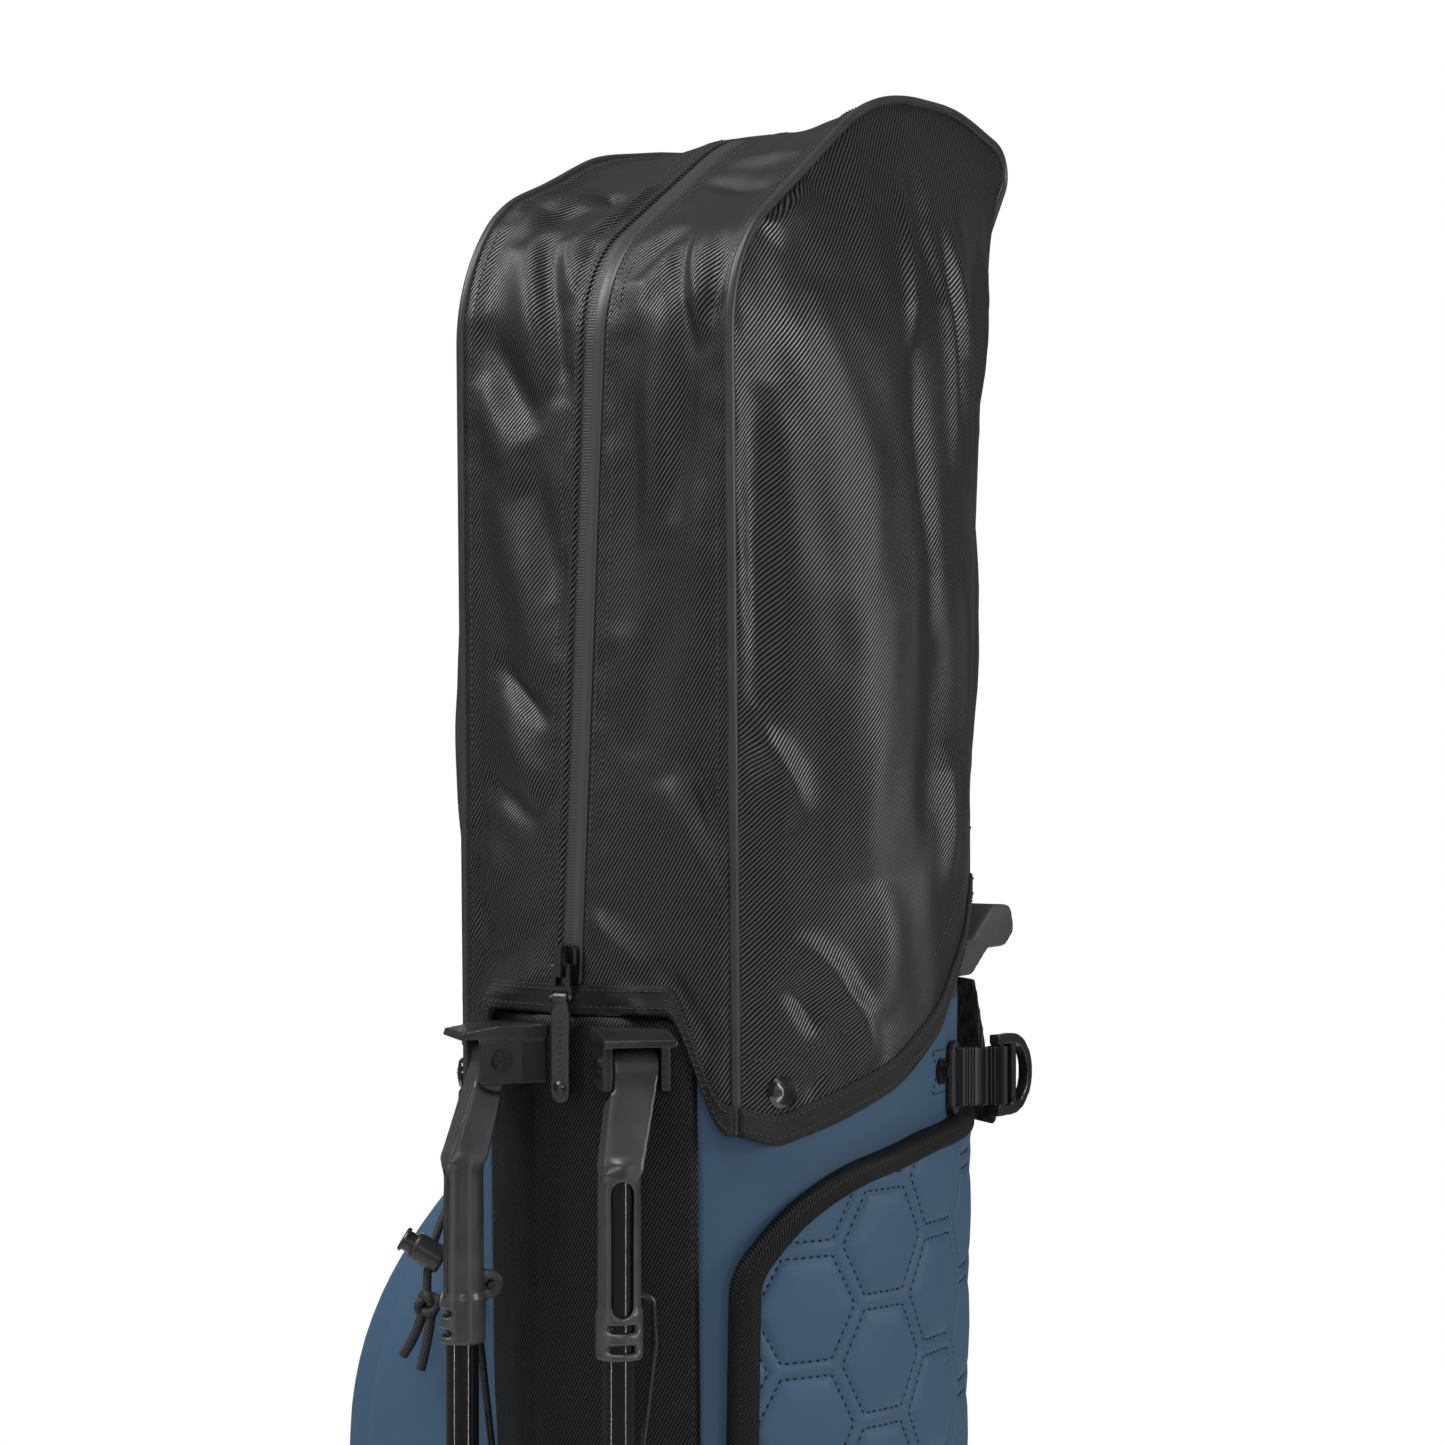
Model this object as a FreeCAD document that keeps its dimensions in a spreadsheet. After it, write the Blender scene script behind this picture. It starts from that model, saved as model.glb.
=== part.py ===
"""Golf stand bag with its zipped travel hood, as a parametric document.

Frame: +Z up, origin on the floor under the middle of the bag. The legs are on the -Y side, the carry
straps and lift handle on +Y, the quilted pocket on +X and the large apparel pocket on -X.
"""
import math
import os
import re

import FreeCAD
import Part
import Sketcher

V = FreeCAD.Vector
X_AXIS, Y_AXIS, Z_AXIS = V(1, 0, 0), V(0, 1, 0), V(0, 0, 1)

# ---------------------------------------------------------------- driving dimensions, in mm and degrees
SIZES = {
    # trunk: an oval tube, wider at the top
    "trunk_wide": 96, "trunk_deep": 122, "trunk_foot_wide": 86, "trunk_foot_deep": 110,
    "trunk_low": 78, "trunk_high": 852, "panel_thick": 3, "front_half": 49.5, "spine_half": 36,
    # moulded collar and the club dividers
    "collar_low": 815, "collar_high": 868, "collar_wide": 92.2, "collar_deep": 118.2,
    "lip_wide": 97.5, "lip_deep": 117, "mouth_wide": 88, "mouth_deep": 112, "rise_high": 888,
    "divider_row": 45, "bar_half": 3, "bar_low": 822, "bar_high": 862, "sleeve_half": 0.8, "sleeve_low": 86,
    "stay_radius": 2.5,
    # base shell with its flexing foot plate
    "shell_wide": 88.5, "shell_deep": 112.5, "shell_wall": 4, "shell_low": 3,
    "hinge_y": -44, "hinge_z": 10, "hinge_radius": 2.5, "hinge_half": 72, "plate_angle": 20,
    "plate_low": 3, "plate_high": 9, "sole_gap": 0.5, "sole_high": 3,
    # actuator: foot plate, rod, yoke and two arms that push the legs out
    "rod_y": -126, "rod_radius": 2.5, "rod_low": 30, "rod_high": 462, "anchor_y": -122, "anchor_z": 12,
    "yoke_low": 459, "yoke_high": 478, "yoke_half": 14.6, "arm_radius": 1.5,
    # legs, sized about the pivot of the right leg; the left leg is its mirror
    "pivot_x": 33, "pivot_y": -126, "pivot_z": 834, "leg_splay": 42, "barrel_radius": 7.5,
    "barrel_half": 9.3, "ear_half": 13.5, "ear_gap": 9.7, "pin_radius": 2.5,
    "tube_side": -8.4, "tube_out": -15.3, "tube_radius": 6.75, "tube_wall": 1.1, "tube_low": -775,
    "sleeve_radius": 8.6, "sleeve_top": -38, "head_low": -113, "lug_z": -90, "lug_y": -4.3, "lug_radius": 5.8,
    "foot_radius": 11, "foot_high": 46,
    # hood
    "hood_thick": 2.5, "gusset_half": 64, "piping_radius": 2.2, "binding_thick": 1.3, "binding_high": 11,
    "zip_half": 8, "zip_thick": 1.2, "snap_radius": 6.6, "snap_z": 822,
    # pockets
    "quilt_thick": 8, "quilt_low": 130, "apparel_low": 120, "apparel_high": 792, "ball_low": 110,
    # straps
    "webbing_high": 25, "webbing_thick": 2, "strap_z": 818, "handle_half": 60,
    # draw cord and its lock
    "cord_radius": 1.8, "lock_bore": 4.4,
}

doc = FreeCAD.newDocument("golf_stand_bag")
sheet = doc.addObject("Spreadsheet::Sheet", "Dims")
for row, (alias, value) in enumerate(SIZES.items(), 1):
    sheet.set(f"A{row}", alias)
    sheet.set(f"B{row}", str(value))
    sheet.setAlias(f"B{row}", alias)
doc.recompute()

NODES = {}


def size(alias):
    """A driving dimension, read back from the sheet."""
    return float(sheet.get(alias))


def expression(text):
    """Text with each driving dimension's name turned into a reference to its cell."""
    def reference(found):
        word = found.group(0)
        return "Dims." + word if word in SIZES else word

    return re.sub(r"[a-z_]{2,}", reference, str(text))


def bind(made, **properties):
    for name, text in properties.items():
        made.setExpression(name, expression(text))
    return made


def at(made, x=0, y=0, z=0, axis=None, angle=0):
    """Places an object: each coordinate is a number or an expression."""
    if axis is not None:
        made.Placement = FreeCAD.Placement(V(), FreeCAD.Rotation(axis, angle))
    for name, text in zip("xyz", (x, y, z)):
        made.setExpression("Placement.Base." + name, expression(text))
    return made


def node(name, made):
    made.Label = name
    NODES[name] = made
    return made


# ---------------------------------------------------------------- primitives and booleans
def box(name, x, y, z):
    """A box from (low, high) pairs, each a number or an expression."""
    made = doc.addObject("Part::Box", name)
    for prop, (low, high) in zip(("Length", "Width", "Height"), (x, y, z)):
        made.setExpression(prop, expression(f"({high}) - ({low})"))
    return at(made, x[0], y[0], z[0])


def rod(name, radius, length, x=0, y=0, z=0, axis=None, angle=0):
    made = doc.addObject("Part::Cylinder", name)
    bind(made, Radius=radius, Height=length)
    return at(made, x, y, z, axis, angle)


def rod_x(name, radius, low, high, y, z):
    return rod(name, radius, f"({high}) - ({low})", low, y, z, Y_AXIS, 90)


def rod_y(name, radius, low, high, x, z):
    return rod(name, radius, f"({high}) - ({low})", x, low, z, X_AXIS, -90)


def cut(name, base, *tools):
    made = doc.addObject("Part::Cut", name)
    made.Base = base
    made.Tool = tools[0] if len(tools) == 1 else fuse(name + "_tools", *tools)
    return made


def fuse(name, *shapes):
    made = doc.addObject("Part::MultiFuse", name)
    made.Shapes = list(shapes)
    return made


def common(name, *shapes):
    made = doc.addObject("Part::MultiCommon", name)
    made.Shapes = list(shapes)
    return made


def group(name, *shapes):
    made = doc.addObject("Part::Compound", name)
    made.Links = list(shapes)
    return made


def mirror(name, source):
    """The left-hand copy of a right-hand piece, across the YZ plane."""
    made = doc.addObject("Part::Mirroring", name)
    made.Source = source
    made.Normal = X_AXIS
    return made


def both(name, source):
    return group(name, source, mirror(name + "_left", source))


def solid(name, shape):
    made = doc.addObject("Part::Feature", name)
    made.Shape = shape
    return made


# ---------------------------------------------------------------- ovals
def oval(name, wide, deep, z):
    """An ellipse with its long side front to back."""
    made = doc.addObject("Part::Ellipse", name)
    bind(made, MajorRadius=deep, MinorRadius=wide)
    return at(made, 0, 0, z, Z_AXIS, 90)


def oval_prism(name, wide, deep, low, high):
    face = doc.addObject("Part::Extrusion", name)
    face.Base = oval(name + "_oval", wide, deep, low)
    face.DirMode = "Custom"
    face.Dir = Z_AXIS
    face.Solid = True
    return bind(face, LengthFwd=f"({high}) - ({low})")


def trunk_solid(name, grow):
    """The trunk's outside, tapering to the base, grown by some mm all round."""
    loft = doc.addObject("Part::Loft", name)
    loft.Sections = [
        oval(name + "_foot", f"trunk_foot_wide + ({grow})", f"trunk_foot_deep + ({grow})", "trunk_low"),
        oval(name + "_top", f"trunk_wide + ({grow})", f"trunk_deep + ({grow})", "trunk_high"),
    ]
    loft.Solid = True
    loft.Ruled = True
    return loft


# ---------------------------------------------------------------- outlines of straight runs and tangent arcs
def rounded_edges(points, radii, closed=False):
    """Edges through a list of points, with each inner corner turned by an arc of its own radius."""
    count = len(points)
    inner = range(count) if closed else range(1, count - 1)
    enter, leave, arcs = {}, {}, {}
    for i in inner:
        here = points[i]
        back, ahead = points[i - 1] - here, points[(i + 1) % count] - here
        half = back.getAngle(ahead) / 2
        radius = radii[i] if isinstance(radii, (list, tuple)) else radii
        if radius <= 0 or half > math.pi / 2 - 1e-4:
            enter[i] = leave[i] = here
            continue
        reach = radius / math.tan(half)
        enter[i] = here + V(back).normalize() * reach
        leave[i] = here + V(ahead).normalize() * reach
        middle = V(back).normalize() + V(ahead).normalize()
        centre = here + middle.normalize() * (radius / math.sin(half))
        arcs[i] = Part.Arc(enter[i], centre - V(middle).normalize() * radius, leave[i]).toShape()
    edges = []
    for i in range(count if closed else count - 1):
        j = (i + 1) % count
        start, end = leave.get(i, points[i]), enter.get(j, points[j])
        if (end - start).Length > 1e-6:
            edges.append(Part.LineSegment(start, end).toShape())
        if j in arcs:
            edges.append(arcs[j])
    return edges


def side_prism(name, outline, radii, half="300"):
    """A YZ outline of (y, z) points swept along X, from -half to +half."""
    wire = Part.Wire(Part.__sortEdges__(rounded_edges([V(0, y, z) for y, z in outline], radii, closed=True)))
    made = doc.addObject("Part::Extrusion", name)
    made.Base = solid(name + "_outline", Part.Face(wire))
    made.DirMode = "Custom"
    made.Dir = X_AXIS
    made.Solid = True
    return bind(made, LengthFwd=half, LengthRev=half)


def tube_along(points, radii, radius):
    """A round tube along straight runs and tangent arcs."""
    path = Part.Wire(Part.__sortEdges__(rounded_edges(points, radii)))
    first = path.Edges[0]
    start, along = first.valueAt(first.FirstParameter), first.tangentAt(first.FirstParameter)
    if (start - points[0]).Length > 1e-3:
        start, along = first.valueAt(first.LastParameter), first.tangentAt(first.LastParameter)
    ring = Part.Wire([Part.makeCircle(radius, start, along)])
    made = path.makePipeShell([ring], True, False, 2)
    return made if made.Volume > 0 else made.reversed()


# ---------------------------------------------------------------- PartDesign helpers
def origin_plane(body, role):
    return next(f for f in body.Origin.OriginFeatures if f.Role == role)


def profile_sketch(body, name, role, points):
    """A closed sketch of straight lines whose corners are each bound to a pair of expressions."""
    sketch = body.newObject("Sketcher::SketchObject", name)
    sketch.AttachmentSupport = (origin_plane(body, role), [""])
    sketch.MapMode = "FlatFace"
    guesses = [V(10 + 5 * math.cos(k), 5 * math.sin(k), 0) for k in range(len(points))]
    for k in range(len(points)):
        sketch.addGeometry(Part.LineSegment(guesses[k], guesses[(k + 1) % len(points)]), False)
    for k in range(len(points)):
        sketch.addConstraint(Sketcher.Constraint("Coincident", k, 2, (k + 1) % len(points), 1))
    for k, (u, v) in enumerate(points):
        for kind, text, guess in (("DistanceX", u, guesses[k].x), ("DistanceY", v, guesses[k].y)):
            index = sketch.addConstraint(Sketcher.Constraint(kind, -1, 1, k, 1, guess))
            sketch.setExpression(f"Constraints[{index}]", expression(text))
    return sketch


def turned(name, points):
    """A body turned about Z from (radius, z) corners."""
    body = doc.addObject("PartDesign::Body", name)
    sketch = profile_sketch(body, name + "_profile", "XZ_Plane", points)
    spin = body.newObject("PartDesign::Revolution", name + "_spin")
    spin.Profile = sketch
    spin.ReferenceAxis = (sketch, ["V_Axis"])
    spin.Angle = 360
    body.Tip = spin
    return body


def plate(name, half_u, half_v, thick, corner):
    """A body that is a flat plate in XY with rounded corners, from z 0 up to thick."""
    body = doc.addObject("PartDesign::Body", name)
    low_u, low_v = f"-({half_u})", f"-({half_v})"
    corners = [(low_u, low_v), (half_u, low_v), (half_u, half_v), (low_u, half_v)]
    sketch = profile_sketch(body, name + "_outline", "XY_Plane", corners)
    pad = body.newObject("PartDesign::Pad", name + "_pad")
    pad.Profile = sketch
    bind(pad, Length=thick)
    body.Tip = pad
    doc.recompute()
    upright = [f"Edge{k + 1}" for k, edge in enumerate(pad.Shape.Edges)
               if abs(edge.tangentAt(edge.FirstParameter).z) > 0.99]
    rounding = body.newObject("PartDesign::Fillet", name + "_round")
    rounding.Base = (pad, upright)
    bind(rounding, Radius=corner)
    body.Tip = rounding
    return body


# ================================================================ trunk
def make_trunk():
    tube = cut("trunk_tube", trunk_solid("trunk_outside", 0), trunk_solid("trunk_inside", "-panel_thick"))
    front = box("front_zone", ("-front_half", "front_half"), (-300, 0), (0, 1000))
    spine = box("spine_zone", ("-spine_half", "spine_half"), (0, 300), (0, 1000))
    right = box("right_zone", (0, 300), (-300, 300), (0, 1000))
    node("trunk_front_panel", common("front_panel", tube, front))
    node("trunk_spine_panel", common("spine_panel", tube, spine))
    side = cut("side_panel", common("side_half", tube, right), front, spine)
    node("trunk_right_panel", side)
    node("trunk_left_panel", mirror("side_panel_left", side))


def make_collar():
    skirt = oval_prism("collar_skirt", "collar_wide", "collar_deep", "collar_low", "trunk_high")
    lip = oval_prism("collar_lip", "lip_wide", "lip_deep", "trunk_high", "collar_high")
    tall = oval_prism("collar_tall", "lip_wide", "lip_deep", "trunk_high", "rise_high")
    # the back of the collar rises behind the clubs, where the lift handle is
    top, high = size("collar_high"), size("rise_high")
    outline = [(40, 840), (40, top), (95, high), (200, high), (200, 840)]
    rise = common("collar_rise", tall, side_prism("rise_side", outline, 0))
    mouth = oval_prism("collar_mouth", "mouth_wide", "mouth_deep", "collar_low - 1", "rise_high + 1")
    node("top_collar", cut("collar_ring", fuse("collar_blank", skirt, lip, rise), mouth))


def divider_grid(name, half, low, high, limit):
    """Two cross walls and a centre wall in three lengths, each trimmed to the oval they stand in."""
    row, edge = "divider_row", f"divider_row - {half}"
    walls = [
        box(name + "_front_cross", (-200, 200), (f"-{row} - {half}", f"-{row} + {half}"), (low, high)),
        box(name + "_rear_cross", (-200, 200), (f"{row} - {half}", f"{row} + {half}"), (low, high)),
        box(name + "_mid", (f"-{half}", half), (f"-({edge})", edge), (low, high)),
        box(name + "_front", (f"-{half}", half), (-200, f"-{row} - {half}"), (low, high)),
        box(name + "_rear", (f"-{half}", half), (f"{row} + {half}", 200), (low, high)),
    ]
    return group(name, *[common(w.Name + "_cut", w, limit) for w in walls])


def make_dividers():
    mouth = oval_prism("divider_limit", "mouth_wide", "mouth_deep", "bar_low", "bar_high")
    node("collar_dividers", divider_grid("bars", "bar_half", "bar_low", "bar_high", mouth))
    inside = trunk_solid("sleeve_limit", "-panel_thick - 7")
    node("divider_sleeves", divider_grid("sleeves", "sleeve_half", "sleeve_low", "bar_low", inside))


def make_stay_rods():
    """Four stiff rods between base and collar, close inside the panels."""
    rods = []
    for k, turn in enumerate((58, -58, 165, -165)):
        low, high = size("trunk_low") - 46, size("collar_low") - 0.3
        a, b = math.sin(math.radians(turn)), -math.cos(math.radians(turn))
        foot = V((size("trunk_foot_wide") - 6.7) * a, (size("trunk_foot_deep") - 6.7) * b, low)
        head = V((size("collar_wide") - 3) * a, (size("collar_deep") - 3) * b, high)
        stay = Part.makeCylinder(size("stay_radius"), (head - foot).Length, foot, head - foot)
        rods.append(solid(f"stay_rod_{k}", stay))
    node("stay_rods", group("stay_rod_set", *rods))


# ================================================================ base
def make_base():
    hinge_y, hinge_z = size("hinge_y"), size("hinge_z")
    rise = math.tan(math.radians(size("plate_angle") + 1))
    top, low, wall = size("trunk_low"), size("shell_low"), size("shell_wall")
    step = hinge_z + 9
    front = -130.0
    outline = [(130, low), (130, top), (front, top), (front, step + (hinge_y - front) * rise),
               (hinge_y + 10, step), (hinge_y + 10, low)]
    slope_top = step + (hinge_y - front) * rise
    hollow = [(130, low + wall), (130, top + 1), (front, top + 1), (front, slope_top + wall),
              (hinge_y + 14, step + wall), (hinge_y + 14, low + wall)]
    outside = common("shell_outside", oval_prism("shell_oval", "shell_wide", "shell_deep", 0, 200),
                     side_prism("shell_side", outline, 0))
    inside = common("shell_inside",
                    oval_prism("shell_oval_in", "shell_wide - shell_wall", "shell_deep - shell_wall", 0, 200),
                    side_prism("shell_side_in", hollow, 0))
    cup = cut("shell_cup", outside, inside)
    ears = [box(f"hinge_ear_{k}", (x, x + 8), (hinge_y - 3.5, hinge_y + 12), (hinge_z - 5, hinge_z + 12))
            for k, x in enumerate((64, -72))]
    bore = rod_x("hinge_bore", "hinge_radius", "-hinge_half", "hinge_half", "hinge_y", "hinge_z")
    notch = box("rod_notch", (-15, 15), (-140, -98), (0, 66))
    node("base_shell", cut("shell", fuse("shell_body", cup, *ears), bore, notch))
    pin = rod_x("hinge_pin", "hinge_radius", "-hinge_half", "hinge_half", "hinge_y", "hinge_z")
    node("base_hinge_pin", pin)
    pad = common("rear_sole", oval_prism("sole_oval", "shell_wide - 2", "shell_deep - 2", 0, "shell_low"),
                 box("sole_zone", (-200, 200), ("hinge_y + 12", 200), (-1, 50)))
    node("base_sole", pad)


def make_foot_plate():
    """The plate under the legs that tips up into the shell as the bag leans on its legs."""
    zone = box("plate_zone", (-200, 200), (-200, "hinge_y - 4"), (0, 50))
    plan = ("shell_wide - 2", "shell_deep - 1")
    tread = common("plate_tread", oval_prism("plate_oval", *plan, "plate_low", "plate_high"), zone)
    knuckle = rod_x("plate_knuckle", "hinge_radius + 3", -62, 62, "hinge_y", "hinge_z")
    web = box("plate_web", (-62, 62), ("hinge_y - 8", "hinge_y"), ("plate_low + 2", "plate_high"))
    tongue = box("plate_tongue", (-12, 12), ("anchor_y - 9", "anchor_y + 22"), ("plate_low", "plate_high"))
    cheeks = [box(f"cheek_{k}", (x, x + 3.5), ("anchor_y - 7", "anchor_y + 7"), ("plate_low", "anchor_z + 7"))
              for k, x in enumerate((-9.5, 6))]
    bore = rod_x("plate_bore", "hinge_radius + 0.06", -70, 70, "hinge_y", "hinge_z")
    eye = rod_x("plate_eye", "arm_radius + 0.3", -20, 20, "anchor_y", "anchor_z")
    slot = box("plate_slot", (-6, 6), ("anchor_y - 12", "anchor_y + 16"), ("plate_low - 1", "plate_high + 1"))
    body = cut("plate_body", fuse("plate_blank", tread, knuckle, web, tongue, *cheeks), bore, eye, slot)
    node("foot_plate", body)
    sole = oval_prism("front_sole_oval", *plan, "sole_gap", "sole_high")
    node("foot_plate_sole", common("front_sole", sole, zone))
    node("foot_plate_pin", rod_x("anchor_pin", "arm_radius + 0.3", -9.5, 9.5, "anchor_y", "anchor_z"))


# ================================================================ actuator rod and arms
def make_actuator():
    shaft = rod("actuator_shaft", "rod_radius", "yoke_low - rod_low", 0, "rod_y", "rod_low")
    # the foot's long eye lets the plate's pin travel back as it rises
    block = box("rod_foot_block", (-4, 4), ("rod_y - 5", "anchor_y + 12"), ("anchor_z - 5", "rod_low"))
    relief = box("rod_foot_relief", (-5, 5), ("rod_y + 5", "anchor_y + 14"), ("anchor_z + 6", "rod_low + 1"))
    eye = box("rod_foot_eye", (-5, 5), ("anchor_y - 2.4", "anchor_y + 9"),
              ("anchor_z - 2.4", "anchor_z + 3.4"))
    node("actuator_rod", cut("actuator_rod_cut", fuse("actuator_rod_blank", shaft, block), relief, eye))
    body = box("yoke_block", ("-yoke_half", "yoke_half"), ("rod_y - 7.5", "rod_y + 6.5"),
               ("yoke_low", "yoke_high"))
    well = box("yoke_well", ("-yoke_half + 2.2", "yoke_half - 2.2"), ("rod_y - 5.5", "rod_y + 4.5"),
               ("yoke_low + 3", "yoke_high + 1"))
    node("actuator_yoke", cut("yoke", body, well))
    guides = []
    for k, low in enumerate((150, 418)):
        block = box(f"guide_block_{k}", (-8, 8), ("rod_y - 6", "rod_y + 24"), (low, low + 12))
        bore = rod(f"guide_bore_{k}", "rod_radius + 0.4", 20, 0, "rod_y", low - 4)
        guides.append(cut(f"guide_{k}", block, trunk_solid(f"guide_seat_{k}", 0.15), bore))
    node("rod_guides", group("guides", *guides))


def leg_point(x, y, z):
    """A point given about the right leg's pivot, in the bag's frame."""
    turn = FreeCAD.Rotation(Z_AXIS, size("leg_splay"))
    return V(size("pivot_x"), size("pivot_y"), size("pivot_z")) + turn.multVec(V(x, y, z))


def make_arms():
    """Spring-wire arms: through the leg's lug, down outside it, then in to the yoke."""
    y, z = size("lug_y"), size("lug_z")
    side = size("tube_side")
    points = [leg_point(side - 5, y, z), leg_point(side + 15.5, y, z), leg_point(side + 16.5, y, z - 20),
              V(6.5, size("rod_y") - 0.5, size("yoke_low") + 11)]
    arm = solid("arm_wire", tube_along(points, [0, 5, 9, 0], size("arm_radius")))
    node("actuator_arm_right", arm)
    node("actuator_arm_left", mirror("arm_wire_left", arm))


# ================================================================ legs
def on_leg(made):
    made.Placement = FreeCAD.Placement(V(), FreeCAD.Rotation(Z_AXIS, size("leg_splay")))
    made.setExpression("Placement.Rotation.Angle", expression("leg_splay"))
    for name, text in zip("xyz", ("pivot_x", "pivot_y", "pivot_z")):
        made.setExpression("Placement.Base." + name, expression(text))
    return made


def make_bracket():
    block = box("bracket_block", ("-ear_half", "ear_half"), (-9, 40), (-9.5, 9.5))
    # the roof leans out over the barrel
    roof = side_prism("bracket_roof", [(-18, 8.5), (-17, 11.5), (-2, 14), (40, 15), (40, 8.5)], 0, 14.5)
    slot = box("bracket_slot", ("-ear_gap", "ear_gap"), (-20, 8.6), (-20, 8.5))
    bore = rod_x("bracket_bore", "pin_radius", -20, 20, 0, 0)
    blank = on_leg(cut("bracket_blank", fuse("bracket_body", block, roof), slot, bore))
    under_hood = common("bracket_hood_room", hood_solid("bracket_hood", 0.8), hem_zone("bracket_hem", -1.2))
    bracket = cut("bracket", blank, trunk_solid("bracket_seat", 0.15), under_hood)
    node("leg_bracket_right", bracket)
    node("leg_bracket_left", mirror("bracket_left", bracket))
    tip = "ear_half * 2 + 1.6"
    outline = [(0, 0), (4.2, 0), (4.2, 1.6), ("pin_radius", 1.6), ("pin_radius", tip), (0, tip)]
    head = turned("pin_turned", outline)
    # the head is on the side towards the middle of the bag
    head.Placement = FreeCAD.Placement(V(-size("ear_half") - 1.6, 0, 0), FreeCAD.Rotation(Y_AXIS, 90))
    node("leg_pins", both("pin_pair", on_leg(group("pin_placed", head))))


def make_leg():
    side, out = "tube_side", "tube_out"
    barrel = rod_x("leg_barrel", "barrel_radius", "-barrel_half", "barrel_half", 0, 0)
    neck = doc.addObject("Part::Wedge", "leg_neck")
    neck.Xmin, neck.Xmax, neck.Zmin, neck.Zmax, neck.Ymin = -9.3, 9.3, -7.5, 4.5, 0
    neck.Placement = FreeCAD.Placement(V(0, 0, -1), FreeCAD.Rotation(X_AXIS, -90))
    bind(neck, Ymax="-sleeve_top + 2", X2min=f"{side} - 8.4", X2max=f"{side} + 8.4",
         Z2min=f"{out} - 8.4", Z2max=f"{out} + 8.4")
    sleeve = rod("leg_sleeve", "sleeve_radius", "sleeve_top - head_low", side, out, "head_low")
    shoulder = rod("leg_shoulder", "sleeve_radius", 8, side, out, "sleeve_top - 5")
    cuff = rod("leg_cuff", "sleeve_radius + 0.8", 19, side, out, "head_low")
    lug = rod_x("leg_lug_eye", "lug_radius", f"{side} - 2.6", f"{side} + 2.6", "lug_y", "lug_z")
    lug_web = box("leg_lug_web", (f"{side} - 2.6", f"{side} + 2.6"), (out, "lug_y"),
                  ("lug_z - lug_radius", "lug_z + lug_radius"))
    blank = fuse("leg_head_blank", barrel, neck, sleeve, shoulder, cuff, lug, lug_web)
    bore = rod("leg_tube_seat", "tube_radius", "sleeve_top - head_low - 1", side, out, "head_low - 1")
    window = box("leg_window", (f"{side} - 4.3", f"{side} + 4.3"), (f"{out} - 20", out), (-92, -48))
    window_ends = [rod_y(f"leg_window_end_{k}", 4.3, f"{out} - 20", out, side, z)
                   for k, z in enumerate((-92, -48))]
    across, deep = (f"{side} - 20", f"{side} + 20"), (f"{out} - 20", f"{out} - 5.6")
    ties = [box(f"leg_tie_slot_{k}", across, deep, (z, z + 3)) for k, z in enumerate((-110, -102))]
    pin_hole = rod_x("leg_pin_hole", "pin_radius + 0.06", -20, 20, 0, 0)
    lug_hole = rod_x("leg_lug_hole", "arm_radius + 0.06", f"{side} - 9", f"{side} + 9", "lug_y", "lug_z")
    # the flared neck is turned away where it would meet the bracket's inner ear as the leg swings
    ear_room = rod_x("leg_ear_room", 13.6, -20, "-barrel_half - 0.05", 0, 0)
    head = on_leg(cut("leg_head", blank, bore, window, *window_ends, *ties, pin_hole, lug_hole, ear_room))
    node("leg_head_right", head)
    node("leg_head_left", mirror("leg_head_mirror", head))
    outer = rod("leg_tube_outer", "tube_radius", "sleeve_top - 2 - tube_low", side, out, "tube_low")
    inner = rod("leg_tube_inner", "tube_radius - tube_wall", "sleeve_top - tube_low", side, out, "tube_low - 1")
    tube = on_leg(cut("leg_tube", outer, inner))
    node("leg_tube_right", tube)
    node("leg_tube_left", mirror("leg_tube_mirror", tube))
    rim = "foot_high - 12"
    shoe = turned("leg_shoe", [(0, -12), ("foot_radius - 3", -12), ("foot_radius", -7), ("foot_radius", 4),
                               ("tube_radius + 2.2", rim), ("tube_radius", rim), ("tube_radius", 0), (0, 0)])
    at(shoe, side, out, "tube_low")
    foot = on_leg(group("leg_foot", shoe))
    node("leg_foot_right", foot)
    node("leg_foot_left", mirror("leg_foot_mirror", foot))


# ================================================================ hood
HOOD_PROFILE = [(-98, 806), (-104, 1158), (25, 1241), (156, 1226), (124, 1178), (100, 893)]
HOOD_RADII = [0, 60, 110, 12, 50, 0]
HOOD_SECTIONS = [
    # height, then front corner, front middle, back corner, back middle and half width
    (780, -98.5, -127.5, 98.5, 127.5, 101.5), (900, -101, -119, 101, 125, 101.5), (1020, -104, -110, 112, 119, 100),
    (1130, -104, -106, 124, 128, 92), (1245, -104, -105, 158, 160, 70)]
HEM = [(-150, 853), (-117, 853), (-109, 840), (-105, 814), (-97, 804), (-85, 801.5), (-60, 809), (-25, 821.5),
       (12, 843), (50, 884), (64, 893), (150, 893)]


def hood_section(row, grow):
    """A four-arc plan section of the hood, grown all round."""
    z, front, front_mid, back, back_mid, half = row
    corner = size("gusset_half") + grow * 0.6
    at_front, at_back = front - grow * 0.8, back + grow * 0.8
    right = [V(corner, at_front, z), V(half + grow, (at_front + at_back) / 2, z), V(corner, at_back, z)]
    left = [V(-p.x, p.y, p.z) for p in right]
    arcs = [
        Part.Arc(left[0], V(0, front_mid - grow, z), right[0]),
        Part.Arc(right[0], right[1], right[2]),
        Part.Arc(right[2], V(0, back_mid + grow, z), left[2]),
        Part.Arc(left[2], left[1], left[0]),
    ]
    return Part.Wire([a.toShape() for a in arcs])


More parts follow.
